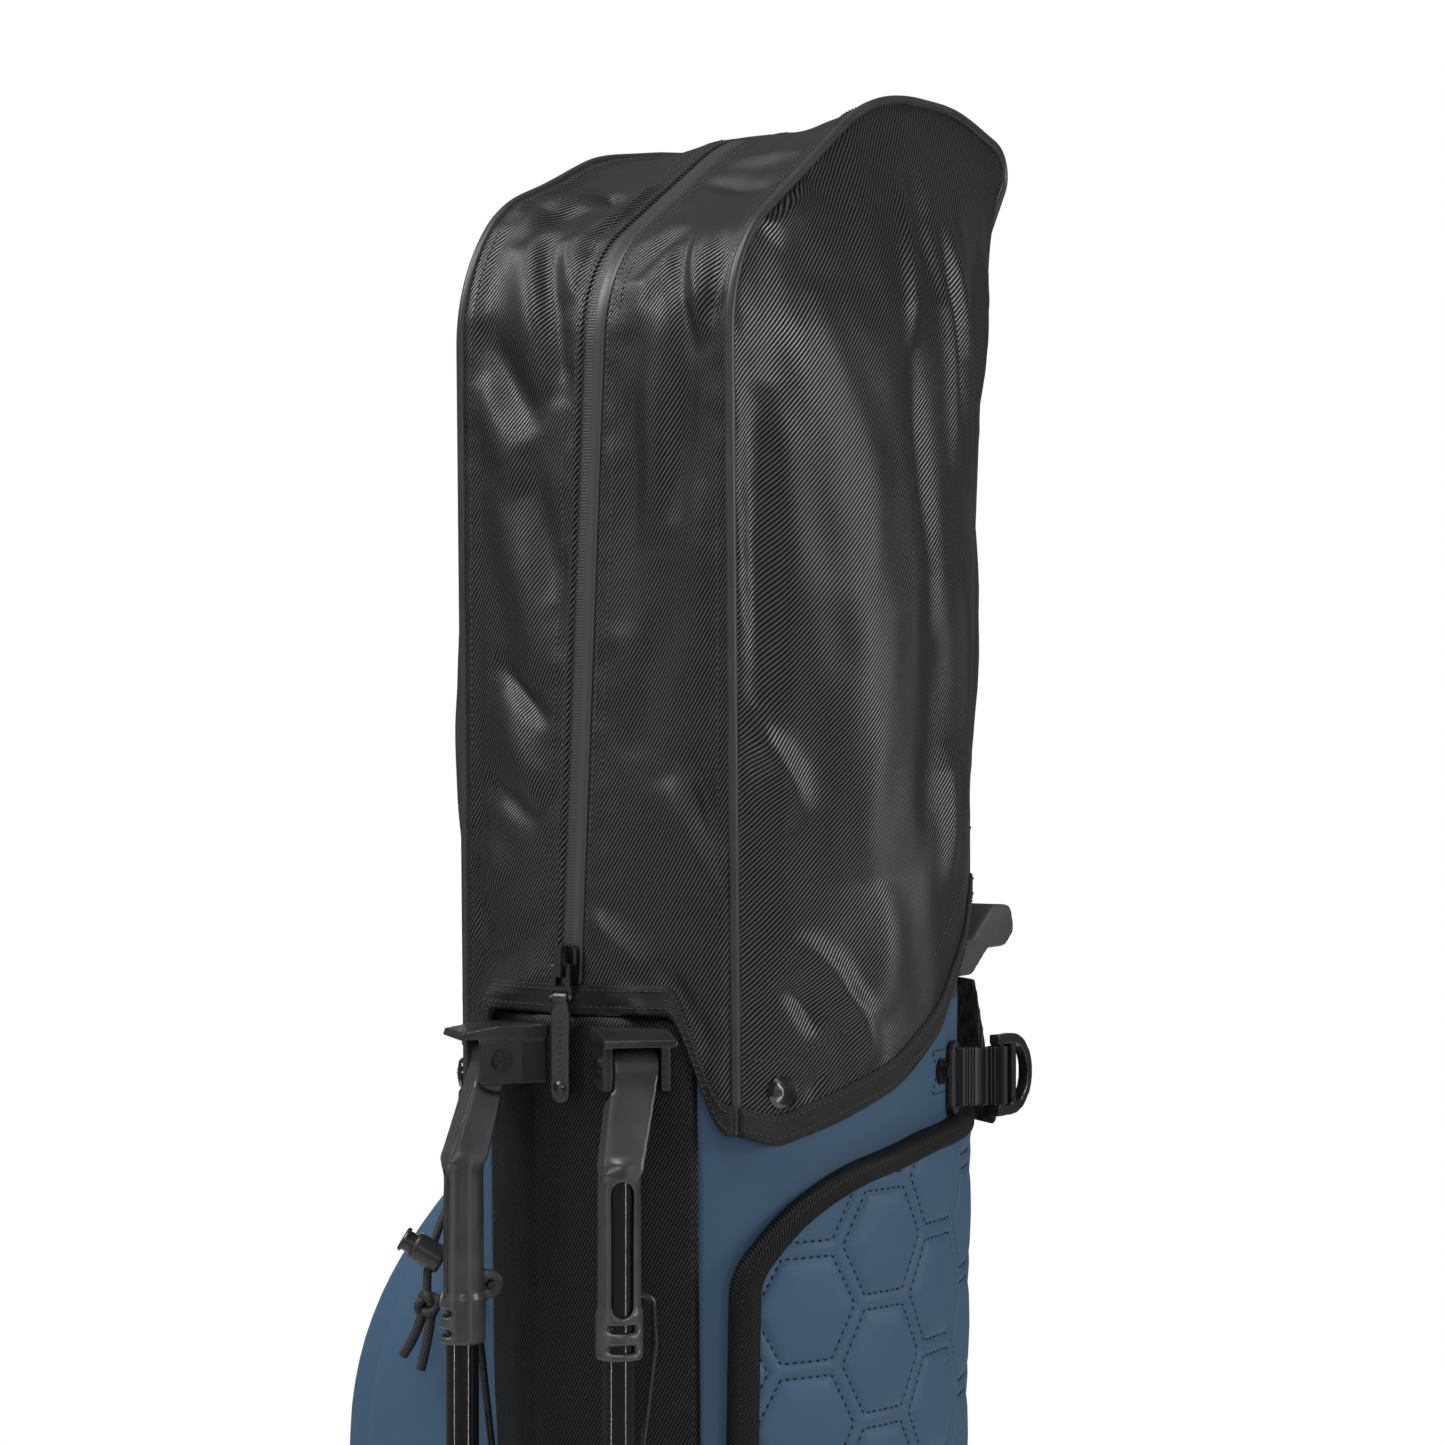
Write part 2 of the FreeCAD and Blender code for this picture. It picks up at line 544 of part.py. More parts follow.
def hood_solid(name, grow):
    sections = [hood_section(row, grow) for row in HOOD_SECTIONS]
    walls = solid(name + "_walls", Part.makeLoft(sections, True, True))
    front, back = -150, 170
    points = [(front, 700), (front, HOOD_PROFILE[1][1] - 40)] + [(y, z) for y, z in HOOD_PROFILE[1:5]]
    lifted = [(y + grow * lean[0], z + grow * lean[1]) for (y, z), lean in
              zip(points[2:], ((-0.9, 0.5), (-0.2, 1.1), (1.2, 1.0), (1, -0.4)))]
    outline = [points[0], (front, lifted[0][1] - 29.6)] + lifted[:3] + [(back, lifted[2][1] - 6), (back, 700)]
    crown = side_prism(name + "_crown", outline, [0, 0, 60, 110, 12, 0, 0])
    return common(name, walls, crown)


def hem_zone(name, rise):
    """Everything above the hem line, raised by some mm."""
    points = [(y, z + rise) for y, z in HEM] + [(150, 1400), (-150, 1400)]
    return side_prism(name, points, [0, 4, 10, 10, 10, 16, 60, 60, 60, 40, 12, 0, 0, 0])


def make_hood():
    outer = hood_solid("hood_outer", 0)
    inner = hood_solid("hood_inner", -size("hood_thick"))
    skin = cut("hood_skin", outer, inner, trunk_solid("hood_seat", 0.3))
    shell = common("hood_shell", skin, hem_zone("hood_hem_zone", 0))
    middle = box("gusset_zone", ("-gusset_half", "gusset_half"), (-300, 300), (0, 1400))
    node("hood_gusset", common("gusset", shell, middle))
    right = common("hood_side", shell, box("hood_right_zone", ("gusset_half", 300), (-300, 300), (0, 1400)))
    node("hood_side_right", right)
    node("hood_side_left", mirror("hood_side_mirror", right))
    half = size("gusset_half")
    seam = [V(half, y, z) for y, z in HOOD_PROFILE]
    piping = solid("piping_tube", tube_along(seam, HOOD_RADII, size("piping_radius")))
    node("hood_piping_right", piping)
    node("hood_piping_left", mirror("piping_mirror", piping))
    tape_skin = cut("tape_skin", hood_solid("tape_outer", size("zip_thick")), hood_solid("tape_inner", 0))
    tape_zone = box("tape_zone", ("-zip_half", "zip_half"), (-300, 14), (864.5, 1400))
    node("hood_zip", common("zip_tape", tape_skin, tape_zone))
    outer, inner = hood_solid("binding_outer", size("binding_thick")), hood_solid("binding_inner", 0)
    wrap = cut("binding_skin", outer, inner)
    low, high = hem_zone("binding_low", 0), hem_zone("binding_high_zone", size("binding_high"))
    band = cut("binding_band", low, high)
    node("hood_binding", common("binding", wrap, band))


def oval_spot(turn, grow, wide="trunk_wide", deep="trunk_deep"):
    """Point and outward bearing on the trunk's oval at an angle from the front, in degrees."""
    a, b = size(wide) + grow, size(deep) + grow
    s, c = math.sin(math.radians(turn)), math.cos(math.radians(turn))
    bearing = math.degrees(math.atan2(s / a, c / b))
    return V(a * s, -b * c, 0), bearing


def upright_facing(out):
    """Turns +Z to a level direction and +Y upwards."""
    return FreeCAD.Rotation(V(-out.y, out.x, 0), Z_AXIS, out, "ZYX")


def facing(made, turn, z, grow):
    """Stands a piece modelled along +Z out of the trunk's side at an angle from the front."""
    spot, bearing = oval_spot(turn, grow)
    out = V(math.sin(math.radians(bearing)), -math.cos(math.radians(bearing)), 0)
    made.Placement = FreeCAD.Placement(V(spot.x, spot.y, z), upright_facing(out))
    return made


def hood_side_spot(y, z):
    """Point and outward direction on the hood's right side panel."""
    low, high = next((a, b) for a, b in zip(HOOD_SECTIONS, HOOD_SECTIONS[1:]) if z <= b[0])
    k = (z - low[0]) / (high[0] - low[0])
    front, back, wide = (low[i] + k * (high[i] - low[i]) for i in (1, 3, 5))
    corner, chord, middle = size("gusset_half"), (back - front) / 2, (back + front) / 2
    radius = ((wide - corner) ** 2 + chord ** 2) / (2 * (wide - corner))
    centre = V(wide - radius, middle, z)
    spot = V(centre.x + math.sqrt(radius ** 2 - (y - middle) ** 2), y, z)
    return spot, (spot - centre).normalize()


def make_snaps():
    dome = turned("snap_cap", [(0, 0), ("snap_radius", 0), ("snap_radius", 0.9), ("snap_radius * 0.75", 2.3),
                               (0, 3)])
    spot, out = hood_side_spot(-83, size("snap_z"))
    dome.Placement = FreeCAD.Placement(spot + out * 0.05, upright_facing(out))
    node("hood_snaps", both("snap_caps", group("snap_cap_right", dome)))
    stud = turned("body_stud", [(0, 0), (5.5, 0), (5.5, 0.8), (2.2, 1.2), (2.2, 3.0), (2.8, 3.8), (0, 4.4)])
    node("body_studs", both("stud_pair", group("stud_right", facing(stud, 101, size("snap_z"), 0.2))))


# ---------------------------------------------------------------- zip sliders and the hood's pull
ZIP_FOOT = V(0, -122.0, 872.5)
ZIP_LEAN = V(0, 0.0589, 1).normalize()


def slider_parts(name):
    """A slider lying in XY with its face towards +Z and its closed end towards +Y."""
    base = plate(name + "_base", 5.5, 8, 2.4, 3)
    posts = [box(f"{name}_post_{k}", (-1.6, 1.6), (y, y + 2.6), (2, 7)) for k, y in enumerate((-4.8, 5))]
    bridge = box(name + "_bridge", (-1.6, 1.6), (-4.8, 7.6), (5.8, 8))
    return fuse(name, base, *posts, bridge)


def make_hood_pull():
    """Slider on the hood zip, metal link, and the leather tab with its rivet."""
    out = V(0, -ZIP_LEAN.z, ZIP_LEAN.y)
    slider = slider_parts("hood_slider")
    slider.Placement = FreeCAD.Placement(ZIP_FOOT + out * 0.35, FreeCAD.Rotation(X_AXIS, ZIP_LEAN, out, "ZYX"))
    node("hood_zip_slider", slider)
    pin = ZIP_FOOT + out * 4.9 - ZIP_LEAN * 0.6
    y, top, low = pin.y, pin.z, pin.z - 12.5
    pieces = [rod_x("link_top", 1.05, -4.4, 4.4, y, top), rod_x("link_low", 1.1, -5.2, 5.2, y, low),
              box("link_middle", (-4.6, 4.6), (y - 0.9, y + 0.9), (low + 2.7, low + 4.6))]
    for k, side in enumerate((1, -1)):
        spans = (("upper", 2.3, 4.4, low + 2.7, top), ("lower", 3.6, 5.2, low, low + 4.6))
        for part, near, far, z0, z1 in spans:
            across = sorted((side * near, side * far))
            pieces.append(box(f"link_{part}_{k}", across, (y - 0.9, y + 0.9), (z0, z1)))
    node("pull_link", fuse("link", *pieces))
    barrel = rod_x("tab_fold", 2.3, -3.4, 3.4, y, low)
    neck = box("tab_neck", (-3.4, 3.4), (y - 1.2, y + 1.2), (low - 5, low - 1.5))
    flat = plate("tab_plate", 4.35, 19.5, 1.8, 4.2)
    flat.Placement = FreeCAD.Placement(V(0, y + 0.4, low - 3 - 19.5), FreeCAD.Rotation(X_AXIS, 90))
    node("pull_tab", cut("tab", fuse("tab_blank", barrel, neck, flat), rod_x("tab_bore", 1.16, -6, 6, y, low)))
    rivet = turned("tab_rivet", [(0, 0), (2.7, 0), (2.7, 0.5), (1.6, 1.2), (0, 1.4)])
    rivet.Placement = FreeCAD.Placement(V(0, y - 1.4, low - 36), FreeCAD.Rotation(X_AXIS, 90))
    node("pull_rivet", rivet)
    print("pull link axis", [round(v / 1000, 5) for v in pin], "tab axis z", round(low / 1000, 5))


# ================================================================ pockets
def make_quilted_pocket():
    low = size("quilt_low")
    outline = [(-92, low), (-92, 742), (-72, 768), (-42, 781), (0, 789), (86, 799), (86, low)]
    radii = [20, 40, 60, 100, 200, 6, 20]
    zone = side_prism("quilt_zone", outline, radii)
    inset = [(-81, low - 60), (-81, 735), (-66, 757), (-38, 770), (2, 778), (140, 792), (140, low - 60)]
    inside = side_prism("quilt_inset", inset, [0, 30, 40, 100, 200, 0, 0])
    right = box("quilt_right", (30, 300), (-300, 300), (0, 1000))
    near = trunk_solid("quilt_near", 0.2)
    pad = cut("quilt_pad", trunk_solid("quilt_outer", "quilt_thick"), near)
    node("quilted_pocket", common("quilt", pad, zone, right))
    tape = cut("quilt_tape", trunk_solid("quilt_tape_outer", "quilt_thick + 1.6"),
               trunk_solid("quilt_tape_inner", "quilt_thick"))
    node("quilted_pocket_binding", common("quilt_binding", tape, cut("quilt_band", zone, inside), right))


def pocket_blob(name, rows):
    """A loft through ovals: each row is z, centre x, centre y, half width and half depth."""
    rings = []
    for z, x, y, wide, deep in rows:
        if deep >= wide:
            ring = Part.Ellipse(V(x, y + deep, z), V(x + wide, y, z), V(x, y, z))
        else:
            ring = Part.Ellipse(V(x + wide, y, z), V(x, y + deep, z), V(x, y, z))
        rings.append(Part.Wire([ring.toShape()]))
    return solid(name, Part.makeLoft(rings, True, True))


APPAREL_CENTRE = (-62, -10)
APPAREL_HALF = (95, 97)


def make_apparel_pocket():
    low, high = size("apparel_low"), size("apparel_high")
    full = (*APPAREL_CENTRE, *APPAREL_HALF)
    blob = pocket_blob("apparel_blob", [
        (low, -52, -8, 70, 80), (low + 26, -58, -10, 90, 92), (low + 70, *full), (high - 100, *full),
        (high - 50, -54, -8, 86, 91), (high - 20, -42, -6, 74, 86), (high, -32, -4, 65, 84)])
    zone = box("apparel_zone", (-300, -30), (-106, 88), (0, 1000))
    room = cut("apparel_room", zone, trunk_solid("apparel_back", 0.2))
    node("apparel_pocket", common("apparel_body", room, blob))


BALL_FACE = ((168, 295), (120, 345))


def make_ball_pocket():
    low = size("ball_low")
    plan = plate("ball_plan", 62, 72, 900, 24)
    at(plan, 0, 98, 0)
    # it starts behind the pockets on either side of the bag
    outline = [(88.2, low), (164, low + 8), *BALL_FACE, (88.2, 345)]
    blank = common("ball_blank", side_prism("ball_side", outline, [0, 24, 30, 10, 0]), plan)
    node("ball_pocket", cut("ball_body", blank, trunk_solid("ball_back", 0.2)))


def apparel_side(y):
    """Point and outward direction on the straight part of the apparel pocket."""
    (x0, y0), (wide, deep) = APPAREL_CENTRE, APPAREL_HALF
    x = x0 - wide * math.sqrt(1 - ((y - y0) / deep) ** 2)
    return V(x, y, 0), V((x - x0) / wide ** 2, (y - y0) / deep ** 2, 0).normalize()


def make_pocket_zips():
    """Straight zips: upright on the apparel pocket's rear shoulder, level on the ball pocket's slope."""
    spot, out = apparel_side(58)
    turn = FreeCAD.Rotation(Z_AXIS.cross(out), Z_AXIS, out, "ZYX")
    tape = plate("apparel_tape", 7, 240, 1.2, 3)
    tape.Placement = FreeCAD.Placement(spot + out * 0.4 + V(0, 0, 440), turn)
    slider = slider_parts("apparel_slider")
    slider.Placement = FreeCAD.Placement(spot + out * 1.75 + V(0, 0, 665), turn)
    node("apparel_zip_slider", slider)
    (y0, z0), (y1, z1) = BALL_FACE
    along = V(0, y1 - y0, z1 - z0).normalize()
    out = V(0, along.z, -along.y)
    middle = V(0, (y0 + y1) / 2, (z0 + z1) / 2)
    turn = FreeCAD.Rotation(along, X_AXIS, out, "ZYX")
    ball_tape = plate("ball_tape", 6, 42, 1.2, 3)
    ball_tape.Placement = FreeCAD.Placement(middle + out * 0.1, turn)
    node("pocket_zips", group("pocket_tapes", tape, ball_tape))
    slider = slider_parts("ball_slider")
    slider.Placement = FreeCAD.Placement(middle + out * 1.45 - V(32, 0, 0), turn)
    node("ball_zip_slider", slider)


# ================================================================ straps and handle
BUCKLE_FALL = 30


def make_strap_hardware():
    """On each side: an oval grommet, webbing through it, and a loop buckle that swings in its fold."""
    spot, bearing = oval_spot(108, 0)
    out = V(math.sin(math.radians(bearing)), -math.cos(math.radians(bearing)), 0)
    along = V(-out.y, out.x, 0)
    level = V(0, 0, size("strap_z"))
    ring = plate("grommet_plate", "webbing_high / 2 + 3.5", 6.5, 2.6, 6.2)
    mouth = box("grommet_mouth", ("-webbing_high / 2 - 0.4", "webbing_high / 2 + 0.4"), (-1.8, 1.8), (-5, 10))
    grommet = cut("grommet", ring, mouth)
    turn = FreeCAD.Rotation(Z_AXIS, out.cross(Z_AXIS), out, "ZXY")
    grommet.Placement = FreeCAD.Placement(spot + level + out * 0.5, turn)
    node("strap_grommets", both("grommet_pair", grommet))
    lean = (out * 0.75 + along * 0.66).normalize()
    # the buckle and its loop lie in a frame with X away from the bag and Z up
    turn = FreeCAD.Rotation(lean, Z_AXIS.cross(lean), Z_AXIS, "ZXY")
    root = spot + level + out * 0.7
    web = box("loop_web", (0, 19), ("-webbing_thick / 2", "webbing_thick / 2"),
              ("-webbing_high / 2", "webbing_high / 2"))
    fold = rod("loop_fold", 4.4, "webbing_high", 22.5, 0, "-webbing_high / 2")
    hollow = rod("loop_hollow", 2.6, 40, 22.5, 0, -20)
    loop = cut("loop", fuse("loop_blank", web, fold), hollow)
    loop.Placement = FreeCAD.Placement(root, turn)
    node("strap_loops", both("loop_pair", loop))
    bar = rod("buckle_bar", 2.5, 35, 0, 0, -17.5)
    cheeks = [box(f"buckle_cheek_{k}", (-2.5, 9), (-2.5, 2.5), (z, z + 4.3))
              for k, z in enumerate((-17.5, 13.2))]
    end = rod_y("buckle_end", 17.5, -2.5, 2.5, 9, 0)
    slot_zone = box("buckle_slot_zone", (12.5, 40), (-10, 10), (-20, 20))
    clear = [box("buckle_window", (-20, 9), (-10, 10), (-13.2, 13.2)),
             common("buckle_slot", rod_y("buckle_slot_round", 13.6, -10, 10, 9, 0), slot_zone)]
    behind = box("buckle_behind", (-20, -2.5), (-10, 10), (-20, 20))
    frame = cut("buckle_frame", fuse("buckle_blank", *cheeks, end), *clear, behind)
    buckle = fuse("buckle", frame, bar)
    hinge = root + lean * 22.5
    # the buckle has fallen back towards the spine
    buckle.Placement = FreeCAD.Placement(hinge, FreeCAD.Rotation(Z_AXIS, BUCKLE_FALL) * turn)
    node("ring_buckle_right", buckle)
    node("ring_buckle_left", mirror("buckle_left", buckle))
    print("buckle hinge", [round(v / 1000, 5) for v in hinge])


def strap_frame(turn_deg):
    """Origin on the trunk's top oval and a rotation with Y outward, at an angle from the front."""
    spot, bearing = oval_spot(turn_deg, 0)
    return spot, FreeCAD.Rotation(Z_AXIS, bearing - 180)


def strap_piece(name, turn_deg, outline, radii, half):
    """A strip with its side outline given as (outward, z), on the back right of the bag."""
    made = side_prism(name, outline, radii, half)
    spot, turn = strap_frame(turn_deg)
    made.Placement = FreeCAD.Placement(spot, turn)
    return made


PAD_TURN = 166
WEB_TURN = 148


def make_shoulder_straps():
    outer = [(2, 836), (9, 840), (20, 752), (21, 640), (16, 500), (9, 424)]
    inner = [(2.5, 424), (6, 500), (9, 640), (8, 752)]
    radii = [3, 3.5, 120, 300, 300, 2.5, 2.5, 300, 300, 60]
    pad = strap_piece("shoulder_pad", PAD_TURN, outer + inner, radii, 23)
    node("shoulder_strap_right", pad)
    node("shoulder_strap_left", mirror("shoulder_pad_left", pad))
    # a webbing tail hangs from each arm of the lift handle
    tail = [(11.5, 854.8), (14.5, 854.8), (25.5, 792), (22.5, 788)]
    side_web = strap_piece("side_web", WEB_TURN, tail, [0, 0, 1, 1], 12.5)
    foot_web = strap_piece("foot_web", PAD_TURN, [(0.6, 372), (3.2, 372), (5.5, 423.8), (3, 423.8)], 0, 12.5)
    node("strap_webbing", both("web_pair", group("web_right", side_web, foot_web)))


def make_lift_handle():
    """A moulded U that stands off behind the collar, with pointed back corners."""
    outline = [(80, 855), (124, 855), (140, 866), (158, 866), (168, 873), (164, 885), (146, 886), (124, 871),
               (80, 871)]
    blank = side_prism("handle_side", outline, [0, 8, 6, 5, 4, 5, 10, 10, 0], "handle_half")
    hand = box("handle_hand", ("-handle_half + 14", "handle_half - 14"), (60, 147), (800, 900))
    seat = oval_prism("handle_seat", "lip_wide + 0.1", "lip_deep + 0.1", 800, 900)
    node("lift_handle", cut("handle", blank, hand, seat))


# ================================================================ draw cord of the apparel pocket
CORD_ROUTE = [V(-75, -97, 768), V(-75.5, -105.5, 757), V(-77, -110.5, 743), V(-75.5, -111.5, 730)]
TAIL_ROUTES = [[V(-77.3, -111.5, 727), V(-79.5, -113, 716), V(-86.5, -113.5, 707)],
               [V(-73.4, -111.5, 727), V(-73.5, -113.5, 715), V(-77, -114.5, 702)]]
KNOT_SPOT = V(-75.4, -111.5, 728.5)


def bend_radii(points):
    """Each bend as wide as its two runs allow."""
    radii = [0]
    for a, b, c in zip(points, points[1:], points[2:]):
        run = min((b - a).Length, (c - b).Length)
        radii.append(0.45 * run / math.tan((b - a).getAngle(c - b) / 2))
    return radii + [0]


def make_drawcord():
    radius = size("cord_radius")
    radii = bend_radii(CORD_ROUTE)
    run = solid("cord_run", tube_along(CORD_ROUTE, radii, radius))
    knot = doc.addObject("Part::Ellipsoid", "knot")
    bind(knot, Radius1="cord_radius * 2.4", Radius2="cord_radius * 2.9", Radius3="cord_radius * 2.6")
    node("cord_knot", at(knot, *KNOT_SPOT))
    tails = [solid(f"cord_tail_{k}", tube_along(route, bend_radii(route), radius))
             for k, route in enumerate(TAIL_ROUTES)]
    node("drawcord", group("cord_pieces", run, *tails))
    # the lock's barrel grips the cord across its middle; the button is pushed down its bore
    spot, lean = V(-76.2, -108.6, 749), V(-0.72, -0.46, 0.52)
    stand = FreeCAD.Placement(spot, FreeCAD.Rotation(Z_AXIS, lean))
    barrel = turned("lock_barrel", [(0, -6), (5.2, -6), (6, -4.5), (6, 7), (5.4, 8), ("lock_bore", 8),
                                    ("lock_bore", 3), (0, 3)])
    barrel.Placement = stand
    node("cord_lock_barrel", barrel)
    button = turned("lock_button", [(0, 6.2), ("lock_bore - 0.06", 6.2), ("lock_bore - 0.06", 11.6), (5.3, 11.6),
                                    (5.3, 12.6), (4.7, 13.2), (0, 13.2)])
    button.Placement = FreeCAD.Placement(stand)
    node("cord_lock_button", button)
    print("cord lock axis", [round(v, 5) for v in V(lean).normalize()])


# ================================================================ build, check and write
def build():
    for make in (make_trunk, make_collar, make_dividers, make_stay_rods, make_base, make_foot_plate, make_actuator,
                 make_arms, make_bracket, make_leg, make_hood, make_snaps, make_hood_pull, make_quilted_pocket,
                 make_apparel_pocket, make_ball_pocket, make_pocket_zips, make_strap_hardware,
                 make_shoulder_straps, make_lift_handle, make_drawcord):
        make()
    doc.recompute()
    failed = [made.Name for made in doc.Objects if {"Invalid", "Error"} & set(made.State)]
    bad = [name for name, made in NODES.items()
           if made.Shape.isNull() or not made.Shape.isValid() or not made.Shape.Solids]
    if failed or bad:
        raise SystemExit(f"failed objects {failed}, bad sub-parts {bad}")


def write():
    os.makedirs("parts", exist_ok=True)
    for name, made in NODES.items():
        extent = made.Shape.optimalBoundingBox(False)
        print(f"{name}: {len(made.Shape.Solids)} solids, {made.Shape.Volume / 1000:.1f} cm3,",
              [round(v, 1) for v in (extent.XMin, extent.YMin, extent.ZMin, extent.XMax, extent.YMax, extent.ZMax)])
        made.Shape.exportStep(f"parts/{name}.step")


build()
write()
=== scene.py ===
"""The looks of a golf stand bag with its travel hood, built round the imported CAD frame, in metres."""

import math

import bmesh
import bpy
import numpy as np
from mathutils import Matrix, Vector, noise


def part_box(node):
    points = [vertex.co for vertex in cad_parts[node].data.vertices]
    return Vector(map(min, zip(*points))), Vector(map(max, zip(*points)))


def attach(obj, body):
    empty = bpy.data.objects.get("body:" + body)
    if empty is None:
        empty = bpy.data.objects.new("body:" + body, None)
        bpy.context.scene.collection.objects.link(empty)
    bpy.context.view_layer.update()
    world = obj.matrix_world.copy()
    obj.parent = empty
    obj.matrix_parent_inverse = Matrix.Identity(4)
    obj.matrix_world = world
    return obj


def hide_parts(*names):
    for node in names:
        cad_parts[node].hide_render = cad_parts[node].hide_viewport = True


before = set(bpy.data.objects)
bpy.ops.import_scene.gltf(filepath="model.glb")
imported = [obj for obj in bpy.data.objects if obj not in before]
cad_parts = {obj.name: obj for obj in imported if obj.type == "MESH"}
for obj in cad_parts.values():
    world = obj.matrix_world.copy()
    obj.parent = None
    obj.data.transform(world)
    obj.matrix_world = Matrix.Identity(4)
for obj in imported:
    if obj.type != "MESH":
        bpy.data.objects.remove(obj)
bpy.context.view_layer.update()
MM = 0.001


# ---------------------------------------------------------------- camera
EYE_HEIGHT = 0.979
EYE_DISTANCE = 1.6
EYE_AZIMUTH = math.radians(30)
VIEW_WIDTH = 0.6214


def make_camera():
    data = bpy.data.cameras.new("camera")
    data.sensor_width = 36
    data.lens = data.sensor_width * EYE_DISTANCE / VIEW_WIDTH
    data.shift_x, data.shift_y = 0.0017, -0.0156
    data.clip_end = 50
    camera = bpy.data.objects.new("camera", data)
    bpy.context.scene.collection.objects.link(camera)
    ahead = EYE_DISTANCE * Vector((math.sin(EYE_AZIMUTH), -math.cos(EYE_AZIMUTH), 0))
    camera.location = (ahead.x, ahead.y, EYE_HEIGHT)
    camera.rotation_euler = (math.radians(90), 0, EYE_AZIMUTH)
    bpy.context.scene.camera = camera


make_camera()


# ---------------------------------------------------------------- mesh helpers
def link(name, mesh):
    made = bpy.data.objects.new(name, mesh)
    bpy.context.scene.collection.objects.link(made)
    return made


def mesh_piece(name, verts, faces, weave=None):
    """A mesh object; weave gives each vertex a place on the cloth, in metres."""
    mesh = bpy.data.meshes.new(name)
    mesh.from_pydata([tuple(v) for v in verts], [], faces)
    mesh.validate()
    mesh.polygons.foreach_set("use_smooth", [True] * len(mesh.polygons))
    if weave is not None:
        layer = mesh.uv_layers.new(name="weave")
        loops = np.zeros(len(mesh.loops), np.int64)
        mesh.loops.foreach_get("vertex_index", loops)
        layer.data.foreach_set("uv", np.asarray(weave, np.float32)[loops].ravel())
    mesh.update()
    return link(name, mesh)


def grid_faces(rows, cols, closed=False):
    """Quads of a grid of vertices; closed joins the last column to the first."""
    faces = []
    for i in range(rows - 1):
        for j in range(cols if closed else cols - 1):
            a, b = i * cols + j, i * cols + (j + 1) % cols
            faces.append((a, b, b + cols, a + cols))
    return faces


def unit(vectors):
    return vectors / np.maximum(np.linalg.norm(vectors, axis=-1, keepdims=True), 1e-12)


def grid_normals(points):
    """Unit normals of a (rows, cols, 3) grid: along rows x along cols."""
    return unit(np.cross(np.gradient(points, axis=1), np.gradient(points, axis=0)))


def distances(points):
    """How far along a polyline each of its points is."""
    return np.concatenate([[0], np.cumsum(np.linalg.norm(np.diff(points, axis=0), axis=1))])


def look_up(wanted, along, points):
    """The places at any distances along a polyline."""
    return np.stack([np.interp(wanted, along, column) for column in points.T], -1)


def cloth_lengths(points):
    """Distance along each row and column of a grid, as the cloth's own coordinates."""
    across = np.zeros(points.shape[:2])
    across[:, 1:] = np.cumsum(np.linalg.norm(np.diff(points, axis=1), axis=2), axis=1)
    middle = points.shape[1] // 2
    across -= across[:, middle:middle + 1]
    down = np.zeros(points.shape[:2])
    down[1:] = np.cumsum(np.linalg.norm(np.diff(points, axis=0), axis=2), axis=0)
    return np.stack([across, np.repeat(down[:, middle:middle + 1], points.shape[1], 1)], axis=2)


def sheet_piece(name, points, thick, weave=None, inner=None):
    """A closed skin: the grid is its outer face; the inner face lies thick behind it, or where inner says."""
    rows, cols = points.shape[:2]
    if inner is None:
        inner = points - grid_normals(points) * thick
    verts = np.concatenate([points.reshape(-1, 3), inner.reshape(-1, 3)])
    count = rows * cols
    outer_faces = grid_faces(rows, cols)
    faces = [f[::-1] for f in outer_faces] + [tuple(i + count for i in f) for f in outer_faces]
    rim = [(0, j) for j in range(cols)] + [(i, cols - 1) for i in range(1, rows)]
    rim += [(rows - 1, j) for j in range(cols - 2, -1, -1)] + [(i, 0) for i in range(rows - 2, 0, -1)]
    ids = [i * cols + j for i, j in rim]
    for a, b in zip(ids, ids[1:] + ids[:1]):
        faces.append((a, b, b + count, a + count))
    if weave is None:
        weave = cloth_lengths(points)
    flat = weave.reshape(-1, 2)
    made = mesh_piece(name, verts, faces, weave=np.concatenate([flat, flat]))
    tidy_normals(made)
    return made


def tidy_normals(piece):
    mesh = bmesh.new()
    mesh.from_mesh(piece.data)
    bmesh.ops.remove_doubles(mesh, verts=mesh.verts, dist=1e-6)
    bmesh.ops.recalc_face_normals(mesh, faces=mesh.faces)
    mesh.to_mesh(piece.data)
    mesh.free()


def smoothstep(low, high, x):
    k = np.clip((np.asarray(x, float) - low) / (high - low), 0, 1)
    return k * k * (3 - 2 * k)


def bell(x, width):
    return np.exp(-(x / width) ** 2)


def cloth_noise(points, scale, seed):
    """Soft random heights, one for each point of a grid."""
    shift = Vector((seed * 7.31, seed * 3.17, seed * 5.77))
    flat = points.reshape(-1, 3)
    values = [noise.noise(Vector(p) / scale + shift) for p in flat]
    return np.array(values).reshape(points.shape[:-1])


def resample(points, count):
    """Evenly spaced points along a polyline."""
    points = np.asarray(points, float)
    along = distances(points)
    return look_up(np.linspace(0, along[-1], count), along, points)


